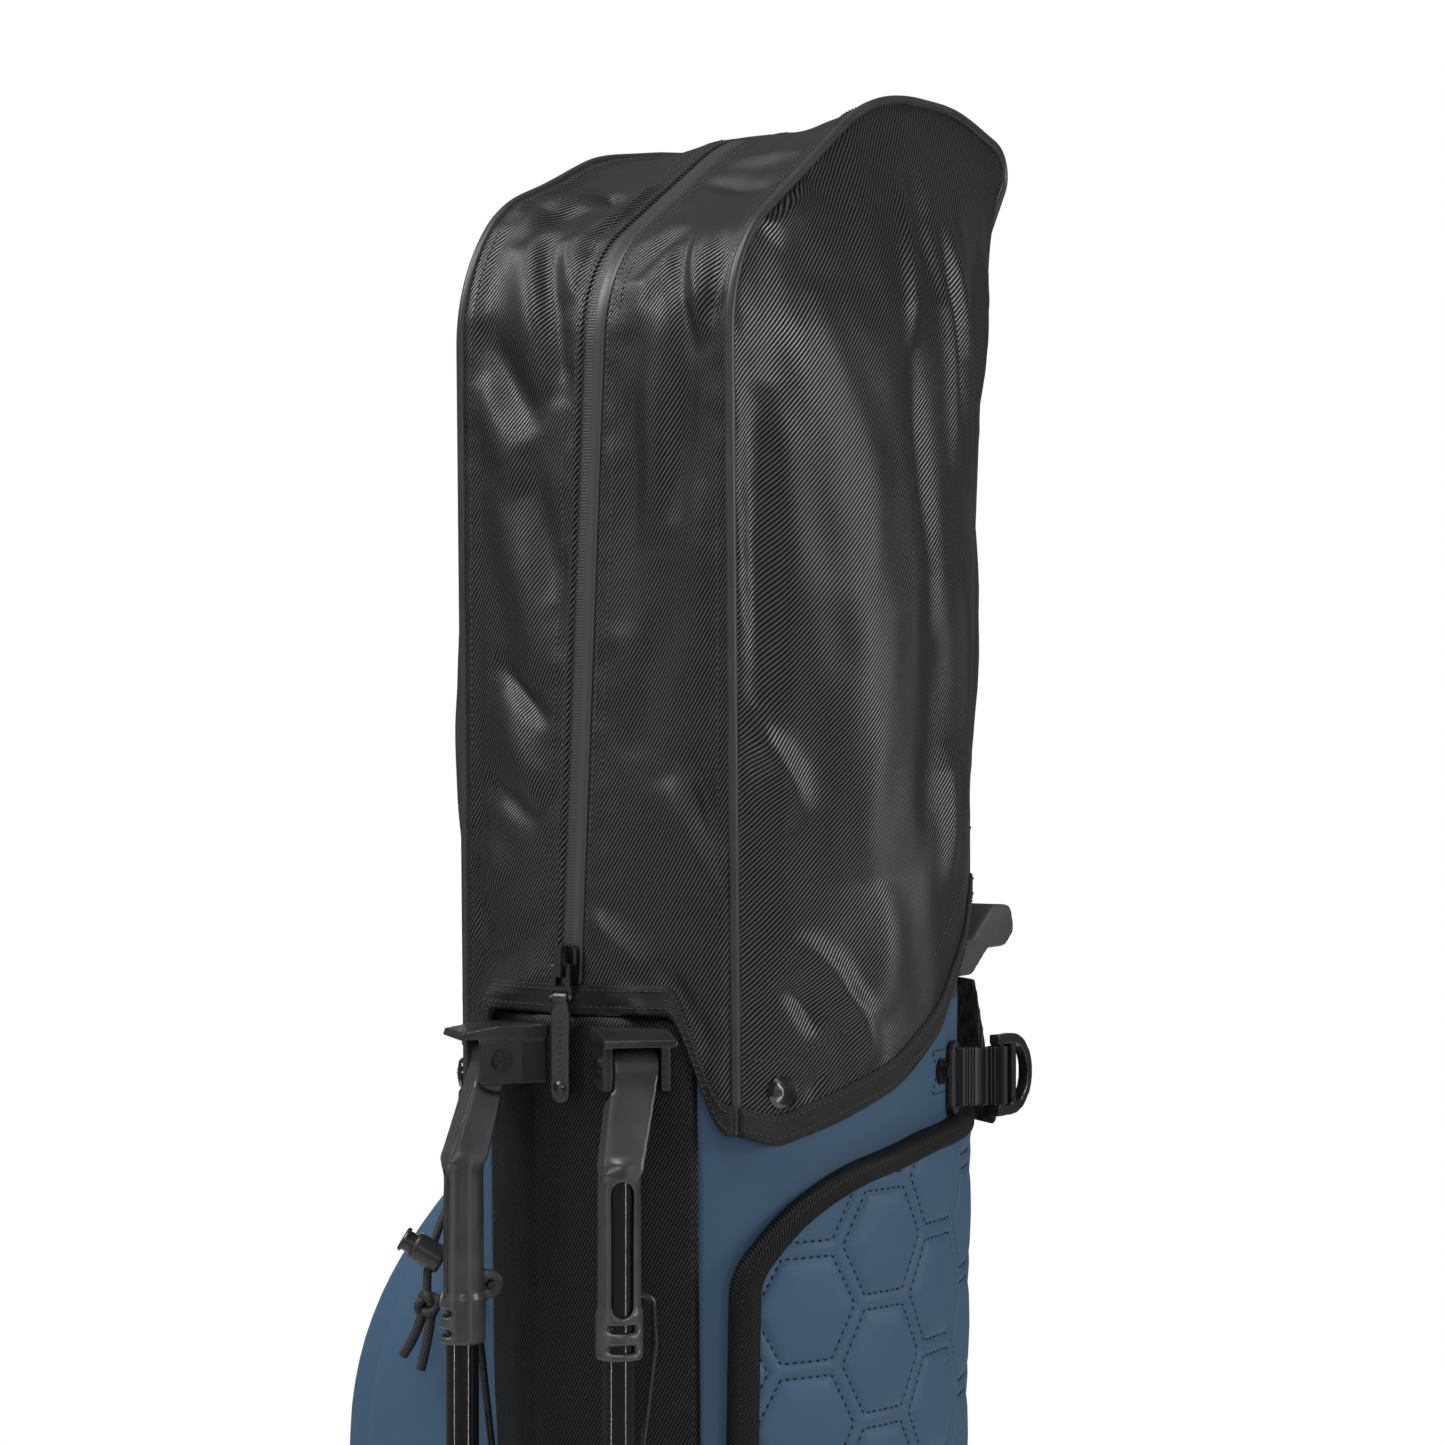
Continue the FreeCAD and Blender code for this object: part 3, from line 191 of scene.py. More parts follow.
def rounded(points, radii):
    """A polyline whose corners are turned by arcs, as a dense list of points and each arc's middle index."""
    points = [np.asarray(p, float) for p in points]
    out, marks = [points[0]], [0]
    for i in range(1, len(points) - 1):
        back, ahead = unit(points[i - 1] - points[i]), unit(points[i + 1] - points[i])
        half = math.acos(np.clip(back @ ahead, -1, 1)) / 2
        reach = radii[i] / math.tan(half)
        centre = points[i] + unit(back + ahead) * radii[i] / math.sin(half)
        sweep = math.pi - 2 * half
        start = points[i] + back * reach - centre
        end = points[i] + ahead * reach - centre
        count = max(4, int(radii[i] * sweep / (2 * MM))) // 2 * 2
        for k in range(count + 1):
            w = k / count
            direction = (np.sin((1 - w) * sweep) * start + np.sin(w * sweep) * end) / math.sin(sweep)
            out.append(centre + direction)
            if k == count // 2:
                marks.append(len(out) - 1)
    out.append(points[-1])
    marks.append(len(out) - 1)
    return np.array(out), marks


# ---------------------------------------------------------------- sewing and tubes
def tube_mesh(path, radius, sides):
    """Verts and faces of a round tube along points."""
    path = np.asarray(path, float)
    count = len(path)
    tangent = unit(np.gradient(path, axis=0))
    normal = np.cross(tangent[0], (0, 0, 1) if abs(tangent[0][2]) < 0.9 else (1, 0, 0))
    verts = []
    for k in range(count):
        normal = unit(normal - tangent[k] * (normal @ tangent[k]))
        side = np.cross(tangent[k], normal)
        for a in np.linspace(0, 2 * math.pi, sides, endpoint=False):
            verts.append(path[k] + radius * (math.cos(a) * normal + math.sin(a) * side))
    faces = [f[::-1] for f in grid_faces(count, sides, closed=True)]
    faces.append(tuple(range(sides)))
    faces.append(tuple(range((count - 1) * sides, count * sides))[::-1])
    return verts, faces


def tube_piece(name, path, radius, sides=12):
    verts, faces = tube_mesh(path, radius, sides)
    made = mesh_piece(name, verts, faces)
    tidy_normals(made)
    return made


def sew(name, rows, thread, body, slot, pitch, share=0.68, radius=0.32 * MM, sink=0.3):
    """Sewn rows, each (points, normals): every stitch is a short thread that dips in at both ends."""
    verts, faces = [], []
    ring = 6
    turns = [2 * math.pi * a / ring for a in range(ring)]
    for points, normals in rows:
        points, normals = np.asarray(points, float), np.asarray(normals, float)
        along = distances(points)
        count = int(along[-1] / pitch)
        for s in range(count):
            spots = (s + 0.5 - share / 2 + share * np.array([0, 0.18, 0.5, 0.82, 1])) * along[-1] / count
            spot = look_up(spots, along, points)
            up = unit(look_up(spots, along, normals))
            side = np.cross(up, unit(spot[-1] - spot[0]))
            lift = radius * np.array([-1.3, -sink, 1 - 2 * sink, -sink, -1.3])
            wide = radius * np.array([0.35, 0.9, 1, 0.9, 0.35])
            base = len(verts)
            for k in range(5):
                for turn in turns:
                    rise, out = lift[k] + wide[k] * math.sin(turn), wide[k] * math.cos(turn)
                    verts.append(spot[k] + up[k] * rise + side[k] * out)
            faces += [tuple(base + i for i in face) for face in grid_faces(5, ring, closed=True)]
            faces.append(tuple(base + a for a in range(ring))[::-1])
            faces.append(tuple(base + 4 * ring + a for a in range(ring)))
    finish_piece(mesh_piece(name, verts, faces), thread, body, slot)


# ---------------------------------------------------------------- materials
class Nodes:
    """A node tree written as plain calls."""

    def __init__(self, name):
        self.material = bpy.data.materials.new(name)
        self.material.use_nodes = True
        self.tree = self.material.node_tree
        self.tree.nodes.clear()
        self.out = self.tree.nodes.new("ShaderNodeOutputMaterial")
        self.shader = self.tree.nodes.new("ShaderNodeBsdfPrincipled")
        self.join(self.shader.outputs[0], self.out.inputs[0])

    def join(self, source, target):
        self.tree.links.new(source, target)

    def put(self, socket, value):
        if isinstance(value, bpy.types.NodeSocket):
            self.join(value, socket)
        else:
            socket.default_value = value

    def new(self, kind, **settings):
        made = self.tree.nodes.new("ShaderNode" + kind)
        for key, value in settings.items():
            setattr(made, key, value)
        return made

    def math(self, operation, a, b=0.0):
        made = self.new("Math", operation=operation)
        for socket, value in zip(made.inputs, (a, b)):
            self.put(socket, value)
        return made.outputs[0]

    def noise(self, vector, scale, detail=2.0):
        made = self.new("TexNoise")
        self.put(made.inputs["Vector"], vector)
        made.inputs["Scale"].default_value = scale
        made.inputs["Detail"].default_value = detail
        return made.outputs["Fac"]

    def voronoi(self, vector, scale):
        made = self.new("TexVoronoi")
        self.put(made.inputs["Vector"], vector)
        made.inputs["Scale"].default_value = scale
        return made.outputs["Distance"]

    def ramp(self, value, low, high, out_low=0.0, out_high=1.0):
        made = self.new("MapRange")
        for socket, v in zip(made.inputs, (value, low, high, out_low, out_high)):
            self.put(socket, v)
        return made.outputs[0]

    def mix(self, factor, a, b):
        made = self.new("Mix", data_type="RGBA")
        self.put(made.inputs[0], factor)
        self.put(made.inputs[6], a)
        self.put(made.inputs[7], b)
        return made.outputs[2]

    def bump(self, height, strength, distance, normal=None):
        made = self.new("Bump")
        self.put(made.inputs["Height"], height)
        made.inputs["Strength"].default_value = strength
        made.inputs["Distance"].default_value = distance
        if normal is not None:
            self.join(normal, made.inputs["Normal"])
        return made.outputs[0]

    def place(self):
        return self.new("TexCoord").outputs["Object"]

    def weave(self):
        return self.new("UVMap", uv_map="weave").outputs[0]

    def parts(self, vector):
        made = self.new("SeparateXYZ")
        self.join(vector, made.inputs[0])
        return made.outputs[0], made.outputs[1], made.outputs[2]

    def set(self, **values):
        names = {"base": "Base Color", "metal": "Metallic", "rough": "Roughness", "normal": "Normal",
                 "specular": "Specular IOR Level", "sheen": "Sheen Weight", "sheen_rough": "Sheen Roughness",
                 "coat": "Coat Weight", "coat_rough": "Coat Roughness"}
        for key, value in values.items():
            self.put(self.shader.inputs[names[key]], value)
        return self.material


def grey(value, warm=0.0):
    return (value * (1 + warm), value, value * (1 - warm), 1)


def paler(colour, factor):
    return tuple(c * factor for c in colour[:3]) + (1,)


def twill_material(name, dark, light, pitch, lean, rough, strength=0.9, shine=0.85):
    """Twill cloth: raised diagonal ribs of short floats that shine along their crowns; the colour is painted
    lighter on the crowns as a painted highlight and darker in the valleys as painted shade.
    """
    n = Nodes(name)
    u, v, _ = n.parts(n.weave())
    cos, sin = math.cos(lean) / pitch, math.sin(lean) / pitch
    across = n.math("ADD", n.math("MULTIPLY", u, cos), n.math("MULTIPLY", v, sin))
    along = n.math("SUBTRACT", n.math("MULTIPLY", v, cos), n.math("MULTIPLY", u, sin))
    rib = n.math("SINE", n.math("MULTIPLY", across, 2 * math.pi))
    step = n.math("MULTIPLY", n.math("FLOOR", across), 0.37)
    short = n.math("SINE", n.math("MULTIPLY", n.math("ADD", along, step), 2 * math.pi * 1.3))
    height = n.math("ADD", n.math("MULTIPLY", rib, 0.5), n.math("MULTIPLY", short, 0.05))
    place = n.place()
    slub = n.noise(place, 260, 2)
    crown = n.ramp(height, -0.35, 0.5)
    # painted highlight and shade: the colour runs from dark in the rib valleys to light on the rib crowns,
    # and slub noise varies it at random
    tone = n.math("MULTIPLY", crown, n.ramp(slub, 0.3, 0.7, 0.85, 1.0))
    cloud = n.noise(place, 9, 3)
    soft = n.bump(n.noise(place, 55, 3), 0.12, 1.2 * MM)
    return n.set(base=n.mix(tone, dark, light), rough=n.ramp(cloud, 0.3, 0.7, rough - 0.04, rough + 0.05),
                 specular=n.ramp(crown, 0.0, 1.0, 0.08, shine),
                 normal=n.bump(height, strength, 0.16 * MM, soft))


def hide_material(name, colour, deep):
    """Coated hide: fine pebble grain, matte with a soft sheen, darker in broad random patches."""
    n = Nodes(name)
    place = n.place()
    pebble = n.voronoi(place, 1500)
    pores = n.noise(place, 2600, 2)
    broad = n.noise(place, 14, 4)
    base = n.mix(n.ramp(broad, 0.25, 0.75, 0.0, 0.22), colour, deep)
    soft = n.bump(n.noise(place, 120, 2), 0.08, 0.6 * MM)
    grain = n.bump(n.math("ADD", pebble, n.math("MULTIPLY", pores, 0.4)), 0.22, 0.10 * MM, soft)
    return n.set(base=base, rough=n.ramp(pores, 0.3, 0.7, 0.50, 0.60), specular=0.24, normal=grain)


def web_material(name, tone, pitch=1.1 * MM, uses_weave=True):
    """Woven tape: a herringbone of fine ribs, with the colour painted lighter on the rib crowns as a painted
    highlight and darker between them as painted shade.
    """
    n = Nodes(name)
    u, v, _ = n.parts(n.weave() if uses_weave else n.place())
    fold = n.math("PINGPONG", u, 3.2 * MM)
    rib = n.math("SINE", n.math("MULTIPLY", n.math("ADD", v, fold), 2 * math.pi / pitch))
    cross = n.math("SINE", n.math("MULTIPLY", u, 2 * math.pi / (0.8 * pitch)))
    height = n.math("ADD", rib, n.math("MULTIPLY", cross, 0.3))
    crown = n.ramp(height, -0.8, 1.1)
    # painted highlight and shade: the colour follows the rib height, light on the crowns and dark between the
    # ribs
    base = n.mix(crown, grey(tone * 0.3), grey(tone * 2.1))
    fuzz = n.bump(n.noise(n.place(), 1500, 2), 0.25, 0.12 * MM)
    return n.set(base=base, rough=0.58, specular=n.ramp(crown, 0, 1, 0.1, 0.6), sheen=0.04, sheen_rough=0.45,
                 normal=n.bump(height, 0.95, 0.18 * MM, fuzz))


def moulded_material(name, colour, rough, grain=0.18, scale=1800):
    """Moulded nylon: a fine spark-eroded grain and faint rubbed shine."""
    n = Nodes(name)
    place = n.place()
    speck = n.noise(place, scale, 3)
    wear = n.noise(place, 40, 3)
    base = n.mix(n.ramp(wear, 0.35, 0.7), colour, paler(colour, 1.5))
    return n.set(base=base, rough=n.ramp(wear, 0.3, 0.7, rough - 0.06, rough + 0.08), specular=0.5,
                 normal=n.bump(speck, grain, 0.06 * MM))


def gloss_material(name, colour, rough=0.12):
    n = Nodes(name)
    smear = n.noise(n.place(), 30, 3)
    return n.set(base=colour, rough=n.ramp(smear, 0.3, 0.7, rough * 0.7, rough * 1.5), specular=0.6, coat=0.6,
                 coat_rough=0.06)


def metal_material(name, colour, rough):
    n = Nodes(name)
    brush = n.noise(n.place(), 900, 2)
    return n.set(base=n.mix(n.ramp(brush, 0.3, 0.7), colour, paler(colour, 1.35)), metal=0.9,
                 rough=n.ramp(brush, 0.3, 0.7, rough - 0.05, rough + 0.1),
                 normal=n.bump(brush, 0.05, 0.04 * MM))


def rubber_material(name, colour, rough=0.5):
    n = Nodes(name)
    place = n.place()
    bloom = n.noise(place, 60, 4)
    fine = n.noise(place, 2200, 2)
    return n.set(base=n.mix(n.ramp(bloom, 0.35, 0.75), colour, paler(colour, 1.35)),
                 rough=n.ramp(bloom, 0.3, 0.7, rough - 0.05, rough + 0.07), specular=0.45,
                 normal=n.bump(fine, 0.14, 0.05 * MM))


def zip_tape_material(name):
    """Coated zip tape: smooth, with the teeth printed through as two faint ladders beside the slit."""
    n = Nodes(name)
    u, v, _ = n.parts(n.weave())
    teeth = n.math("SINE", n.math("MULTIPLY", v, 2 * math.pi / (1.5 * MM)))
    ladder = n.math("SINE", n.math("MULTIPLY", u, 2 * math.pi / (1.3 * MM)))
    left = n.ramp(n.math("ABSOLUTE", n.math("ADD", u, 1.3 * MM)), 1.2 * MM, 2.2 * MM, 1, 0)
    height = n.math("MULTIPLY", n.math("ADD", n.math("MULTIPLY", teeth, 0.6), ladder), left)
    fine = n.bump(n.noise(n.place(), 1600, 2), 0.10, 0.05 * MM)
    return n.set(base=grey(0.030, -0.03), rough=0.42, specular=0.5,
                 normal=n.bump(height, 0.8, 0.12 * MM, fine))


def leather_material(name):
    n = Nodes(name)
    place = n.place()
    grain = n.voronoi(place, 1900)
    wrinkle = n.noise(place, 380, 4)
    return n.set(base=n.mix(wrinkle, grey(0.008), grey(0.02, 0.05)), specular=0.5,
                 rough=n.ramp(wrinkle, 0.3, 0.7, 0.26, 0.40),
                 normal=n.bump(n.math("ADD", grain, wrinkle), 0.3, 0.08 * MM))


def cord_material(name):
    """Braided cord: crossing bundles round its outside, with the colour painted lighter on the bundles as a
    painted highlight and darker in the grooves as painted shade.
    """
    n = Nodes(name)
    place = n.place()
    ribs = n.new("TexWave", wave_type="BANDS", bands_direction="DIAGONAL")
    n.put(ribs.inputs["Vector"], place)
    ribs.inputs["Scale"].default_value = 330
    ribs.inputs["Distortion"].default_value = 1.2
    fine = n.noise(place, 1400, 2)
    height = n.math("ADD", ribs.outputs["Fac"], n.math("MULTIPLY", fine, 0.5))
    # painted highlight and shade: the colour follows the braid's height, light on the bundles and dark in the
    # grooves
    return n.set(base=n.mix(height, grey(0.006), grey(0.022)), rough=0.6, specular=0.4,
                 normal=n.bump(height, 0.8, 0.25 * MM))


LEAN = math.radians(-28)
TWILL = twill_material("twill", grey(0.003), grey(0.030), 1.3 * MM, LEAN, 0.41)
SIDE_TWILL = twill_material("side_twill", grey(0.003), grey(0.028), 1.45 * MM, math.radians(-42), 0.36)
PANEL_TWILL = twill_material("panel_twill", grey(0.002), grey(0.013), 1.3 * MM, LEAN, 0.46, 0.9, 0.4)
EDGE_TWILL = twill_material("edge_twill", grey(0.002), grey(0.009), 0.9 * MM, math.radians(50), 0.62, 0.6,
                            0.3)
BLUE = hide_material("blue_hide", (0.043, 0.088, 0.148, 1), (0.032, 0.066, 0.114, 1))
TAPE = web_material("binding_tape", 0.008)
MOULDED = moulded_material("moulded", grey(0.011), rough=0.36)
# painted light: a paler copy of the black moulding that the brackets use, painted lighter to stand in for the
# light the leg heads catch
LEG_MOULDED_PAINTED_LIT = moulded_material("leg_moulded_painted_lit", grey(0.030), rough=0.36)
GREY_MOULDED = moulded_material("grey_moulded", grey(0.042), rough=0.45)
GLOSS = gloss_material("gloss_tube", grey(0.004))
METAL = metal_material("black_metal", grey(0.035), 0.3)
WIRE = metal_material("spring_wire", grey(0.04), 0.3)
RUBBER = rubber_material("rubber", grey(0.015))
PIPING = rubber_material("piping_rubber", grey(0.022), 0.42)
ZIP_TAPE = zip_tape_material("zip_tape")
CAP = gloss_material("snap_cap", grey(0.006), 0.16)
LEATHER = leather_material("black_leather")
CORD = cord_material("braided_cord")
WEBBING = web_material("webbing_box", 0.010, 1.9 * MM, uses_weave=False)
GLOSS_MOULDED = moulded_material("gloss_moulded", grey(0.010), rough=0.2, grain=0.05)
PAD_MESH = moulded_material("pad_mesh", grey(0.012), rough=0.7, grain=0.6, scale=900)
POCKET_ZIP_TAPE = rubber_material("pocket_zip_tape", grey(0.024), 0.42)
LINER = twill_material("liner", grey(0.010), grey(0.018), 0.9 * MM, math.radians(45), 0.65, 0.3)
BLACK_THREAD = rubber_material("black_thread", grey(0.010), 0.55)
GREY_THREAD = rubber_material("grey_thread", grey(0.022), 0.5)
NAVY_THREAD = rubber_material("navy_thread", (0.001, 0.003, 0.009, 1), 0.85)


def finish_piece(piece, material, body, slot, *nodes):
    """Gives a piece its material and its body, and hides the CAD nodes it stands for; slot is not used."""
    piece.data.materials.clear()
    piece.data.materials.append(material)
    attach(piece, body)
    if nodes:
        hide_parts(*nodes)
    return piece


def paint_node(node, material):
    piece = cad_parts[node]
    for slot in piece.material_slots:
        slot.material = material
    if not piece.material_slots:
        piece.data.materials.append(material)


# ---------------------------------------------------------------- the hood's shape
SEAM_X = 64 * MM


class Path:
    """A rounded outline, read by distance along it, or by a number that is 0, 1, 2 ... at its corners."""

    def __init__(self, points, radii):
        self.points, marks = rounded(np.array(points) * MM, np.array(radii) * MM)
        self.along = distances(self.points)
        self.marks = self.along[marks]

    def reach(self, distance):
        return look_up(distance, self.along, self.points)

    def at(self, p):
        return self.reach(np.interp(p, np.arange(len(self.marks)), self.marks))

    def normals(self, distance):
        ahead = unit(self.reach(distance + MM) - self.reach(distance - MM))
        return np.stack([-ahead[..., 1], ahead[..., 0]], -1)


# where the piping runs, as (y, z) in mm, and the middle line of the gusset beside it, corner for corner
SEAM = Path([(-98, 806), (-104, 1158), (25, 1241), (156, 1226), (124, 1178), (100, 893)],
            [0, 60, 110, 12, 50, 0])
MIDDLE = Path([(-125, 806), (-101.5, 1156), (22, 1229), (157, 1223), (131, 1172), (125, 893)],
              [0, 62, 120, 12, 50, 0])
HEM = Path([(-98, 806), (-85, 801), (-60, 809), (-25, 821.5), (12, 843), (50, 884), (64, 893), (100, 893)],
           [0, 10, 60, 60, 60, 40, 12, 0])
SEAM_LENGTH = SEAM.marks[-1]
FRONT_HEM, LOW_HEM, SNAP_HEIGHT = 853 * MM, 805 * MM, 822 * MM
STUD_TURN = math.radians(101)


def strokes(a, b, rows):
    """Ridges and hollows on a surface's own two lengths: ends, half width, height and bow, in mm."""
    total = np.zeros(np.shape(a))
    for a0, b0, a1, b1, width, height, bow in rows:
        run = math.hypot(a1 - a0, b1 - b0)
        t = np.clip(((a - a0) * (a1 - a0) + (b - b0) * (b1 - b0)) / run ** 2, 0, 1)
        across = ((b - b0) * (a1 - a0) - (a - a0) * (b1 - b0)) / run - bow * 4 * t * (1 - t)
        total += height * np.sin(math.pi * t) ** 0.7 * bell(across, width)
    return total * MM


GUSSET_FOLDS = [
    (-50, 392, -22, 298, 10, 4.4, 3), (-35, 372, -13, 294, 6, -5.0, 3), (-24, 374, -12, 338, 7, 3.0, 0),
    (-46, 362, -32, 404, 6, -3.6, 2), (-22, 364, -13, 430, 5, 3.2, -3), (-33, 424, -20, 411, 5, -2.8, 0),
    (-50, 396, -36, 424, 6, 2.4, 2), (-56, 330, -24, 284, 7, -3.6, 0), (-56, 306, -32, 258, 8, 3.2, 0),
    (-46, 266, -16, 180, 9, 3.6, 0), (-30, 278, -12, 214, 6, -2.6, 0), (-46, 192, -14, 163, 4, -3.6, 0),
    (-43, 176, -16, 130, 8, 3.6, 0), (-52, 142, -16, 124, 6, -3.4, 0), (-54, 118, -38, 98, 8, 2.6, 0),
    (-52, 92, -44, 64, 6, -2.4, 0), (-12, 84, -60, 58, 5, -1.8, 2), (-10, 66, -58, 44, 5, 1.8, 2),
    (19, 344, 28, 380, 6, -3.4, 2), (31, 373, 51, 308, 4, -3.2, -2), (62, 364, 54, 312, 5, -3.6, 0),
    (40, 380, 53, 314, 6, 4.0, 0), (28, 370, 18, 320, 6, 2.8, 0), (43, 334, 40, 244, 6, -3.4, 2),
    (30, 334, 29, 236, 7, 2.8, 0), (18, 300, 20, 200, 6, -2.4, 2), (52, 262, 48, 176, 6, 2.4, 0),
    (34, 230, 26, 150, 8, -2.2, 3), (38, 142, 57, 94, 7, 3.4, 0), (50, 154, 62, 112, 5, -3.2, 0),
    (8, 88, 31, 65, 5, 2.8, 0), (38, 70, 57, 34, 4, -2.8, 0), (22, 62, 41, 27, 4, 2.4, 0),
    (11, 64, 27, 30, 3.5, -2.2, 0), (-50, 470, -14, 486, 8, -2.4, 2), (14, 430, 56, 404, 6, -2.8, 3),
    (12, 452, 56, 440, 6, 2.6, 2), (16, 500, 56, 490, 9, -2.2, 2), (-56, 560, 40, 548, 12, -2.6, 4),
    (-30, 590, 58, 600, 9, 2.0, 3), (-40, 700, -20, 860, 12, 2.8, 5), (10, 690, 26, 880, 13, -2.8, -6),
    (44, 700, 40, 840, 9, 2.4, 4), (-10, 720, -4, 800, 8, -1.8, 0),
]
RIGHT_FOLDS = [
    (-86, 1182, -52, 1203, 6, -3.8, 2), (-74, 1166, -40, 1190, 7, 2.6, 2), (-45, 1150, -42, 905, 22, 3.8, 0),
    (-90, 1105, -92, 975, 8, -3.6, -2), (-98, 970, -76, 928, 7, 3.0, 3), (2, 1143, 5, 1000, 9, -3.8, 2),
    (5, 1000, -2, 925, 10, -2.4, 2), (22, 1198, 0, 1124, 5, 3.4, -2), (36, 1207, 30, 1148, 9, -3.6, 0),
    (40, 1186, 36, 1074, 6, 3.2, 2), (48, 1184, 47, 1090, 4, -2.4, 0), (57, 1190, 59, 1126, 5, 2.8, 0),
    (74, 1196, 60, 1064, 8, 2.6, -4), (98, 1180, 80, 1050, 7, -2.8, -4), (116, 1176, 98, 1110, 5, 2.6, 2),
    (10, 1030, 16, 950, 14, -2.8, 0), (22, 962, 16, 898, 8, 2.8, 2), (44, 1040, 40, 910, 10, 2.2, 3),
    (78, 1060, 70, 930, 9, -2.4, 3), (96, 1060, 92, 930, 7, 2.0, 2), (-83, 866, -69, 844, 5, -2.6, 3),
    (-80, 884, -50, 850, 6, 2.2, 3), (-66, 831, -74, 817, 3, -2.2, 0), (-58, 862, -42, 830, 6, 2.0, 4),
    (-30, 905, -36, 848, 10, 2.0, 3),
]
LEFT_FOLDS = [
    (-86, 1172, -56, 1198, 7, -3.2, 2), (-78, 1156, -44, 1186, 7, 3.0, 2), (-90, 1120, -62, 1040, 9, -3.0, 4),
    (70, 1200, 60, 1050, 9, 3.4, 6), (94, 1184, 84, 1040, 8, -3.0, 5), (34, 1170, 20, 1050, 10, -3.0, -5),
    (-20, 1170, -30, 1030, 13, 2.8, 6), (-92, 1010, -70, 900, 10, 2.4, 4), (-60, 1000, -30, 880, 12, -2.8, 6),
    (10, 1030, 30, 900, 12, 3.0, -6), (60, 1030, 54, 910, 10, -2.6, 4), (90, 1020, 88, 920, 7, 2.0, 2),
    (-80, 860, -50, 822, 5, 1.6, 3), (-40, 1080, 40, 1040, 12, -1.6, 6), (0, 900, 60, 888, 6, 1.2, 2),
]


def crown_rise(x, y, z):
    """The crown is blown up and slumped a little differently at its two seams."""
    left, right = 7 * bell(y + 0.072, 0.026) - 15 * bell(y - 0.035, 0.055), 6 * bell(y - 0.098, 0.038)
    share = smoothstep(0, SEAM_X, np.abs(x)) * smoothstep(1.1, 1.2, z)
    return np.where(x < 0, left, right) * share * MM


def puckers(points, distance, seed):
    """The short wrinkles that a seam draws into the cloth beside it."""
    ripple = cloth_noise(points, 0.009, seed)
    return 0.9 * MM * ripple * bell(distance, 11 * MM) * smoothstep(0, 3 * MM, distance)


def gusset(x, p):
    """The gusset's outer face and its outward directions at widths x and profile numbers p."""
    share = np.clip(np.abs(x) / SEAM_X, 0, 1)[..., None] ** 2
    yz = MIDDLE.at(p) * (1 - share) + SEAM.at(p) * share
    base = np.concatenate([x[..., None], yz], axis=-1)
    base[..., 2] += crown_rise(x, base[..., 1], base[..., 2])
    normal = grid_normals(base)
    a, q = x / MM, np.interp(p, np.arange(6), SEAM.marks) / MM
    edge = SEAM_X - np.abs(x)
    free = smoothstep(0, 9 * MM, edge) * smoothstep(5 * MM, 13 * MM, np.abs(x))
    stretched = base * np.array([1.6, 1.0, 0.7])
    broad = 1.7 * MM * cloth_noise(stretched, 0.048, 1) + 0.7 * MM * cloth_noise(stretched, 0.02, 2)
    lift = free * (FOLD_GAIN * strokes(a, q, GUSSET_FOLDS) + broad)
    lift += puckers(base, edge, 3) + puckers(base, np.abs(np.abs(x) - 6 * MM), 4) * (np.abs(x) > 6 * MM)
    lift += 0.9 * MM * smoothstep(0, 1.6 * MM, edge) * (1 - smoothstep(6.4 * MM, 8.2 * MM, edge))
    lift -= 1.2 * MM * (1 - smoothstep(5.3 * MM, 6.1 * MM, np.abs(x))) * (q < 490) * (q > 56)
    return base + normal * lift[..., None], normal


def front_start(x):
    """Profile number of the gusset's front hem at width x."""
    bottom = FRONT_HEM + (LOW_HEM - FRONT_HEM) * smoothstep(40 * MM, 62 * MM, np.abs(x))
    return (bottom - LOW_HEM) / SEAM.marks[1]


def gusset_rows(x, distance):
    """Profile numbers for distances up from the gusset's front hem, the rest of the way round as they are."""
    p = np.interp(distance, SEAM.marks, np.arange(6))
    start = front_start(x)
    return np.where(p < 1, start + (1 - start) * p, p)


def side_bulge(y, z):
    """How far the side panel stands out from the seam's plane."""
    heights = np.array([780, 900, 1020, 1130, 1245]) * MM
    front = np.interp(z, heights, np.array([-98.5, -101, -104, -104, -104]) * MM)
    back = np.interp(z, heights, np.array([98.5, 101, 112, 124, 158]) * MM)
    half = np.interp(z, heights, np.array([101.5, 101.5, 100, 92, 76]) * MM)
    chord, rise = (back - front) / 2, half - SEAM_X
    radius = (rise ** 2 + chord ** 2) / (2 * rise)
    off = np.clip(y - (back + front) / 2, -chord, chord)
    return np.sqrt(radius ** 2 - off ** 2) - radius + rise


SIDE_WIDE, SIDE_TALL = 200 * MM, 360 * MM
FOLD_GAIN = 1.15


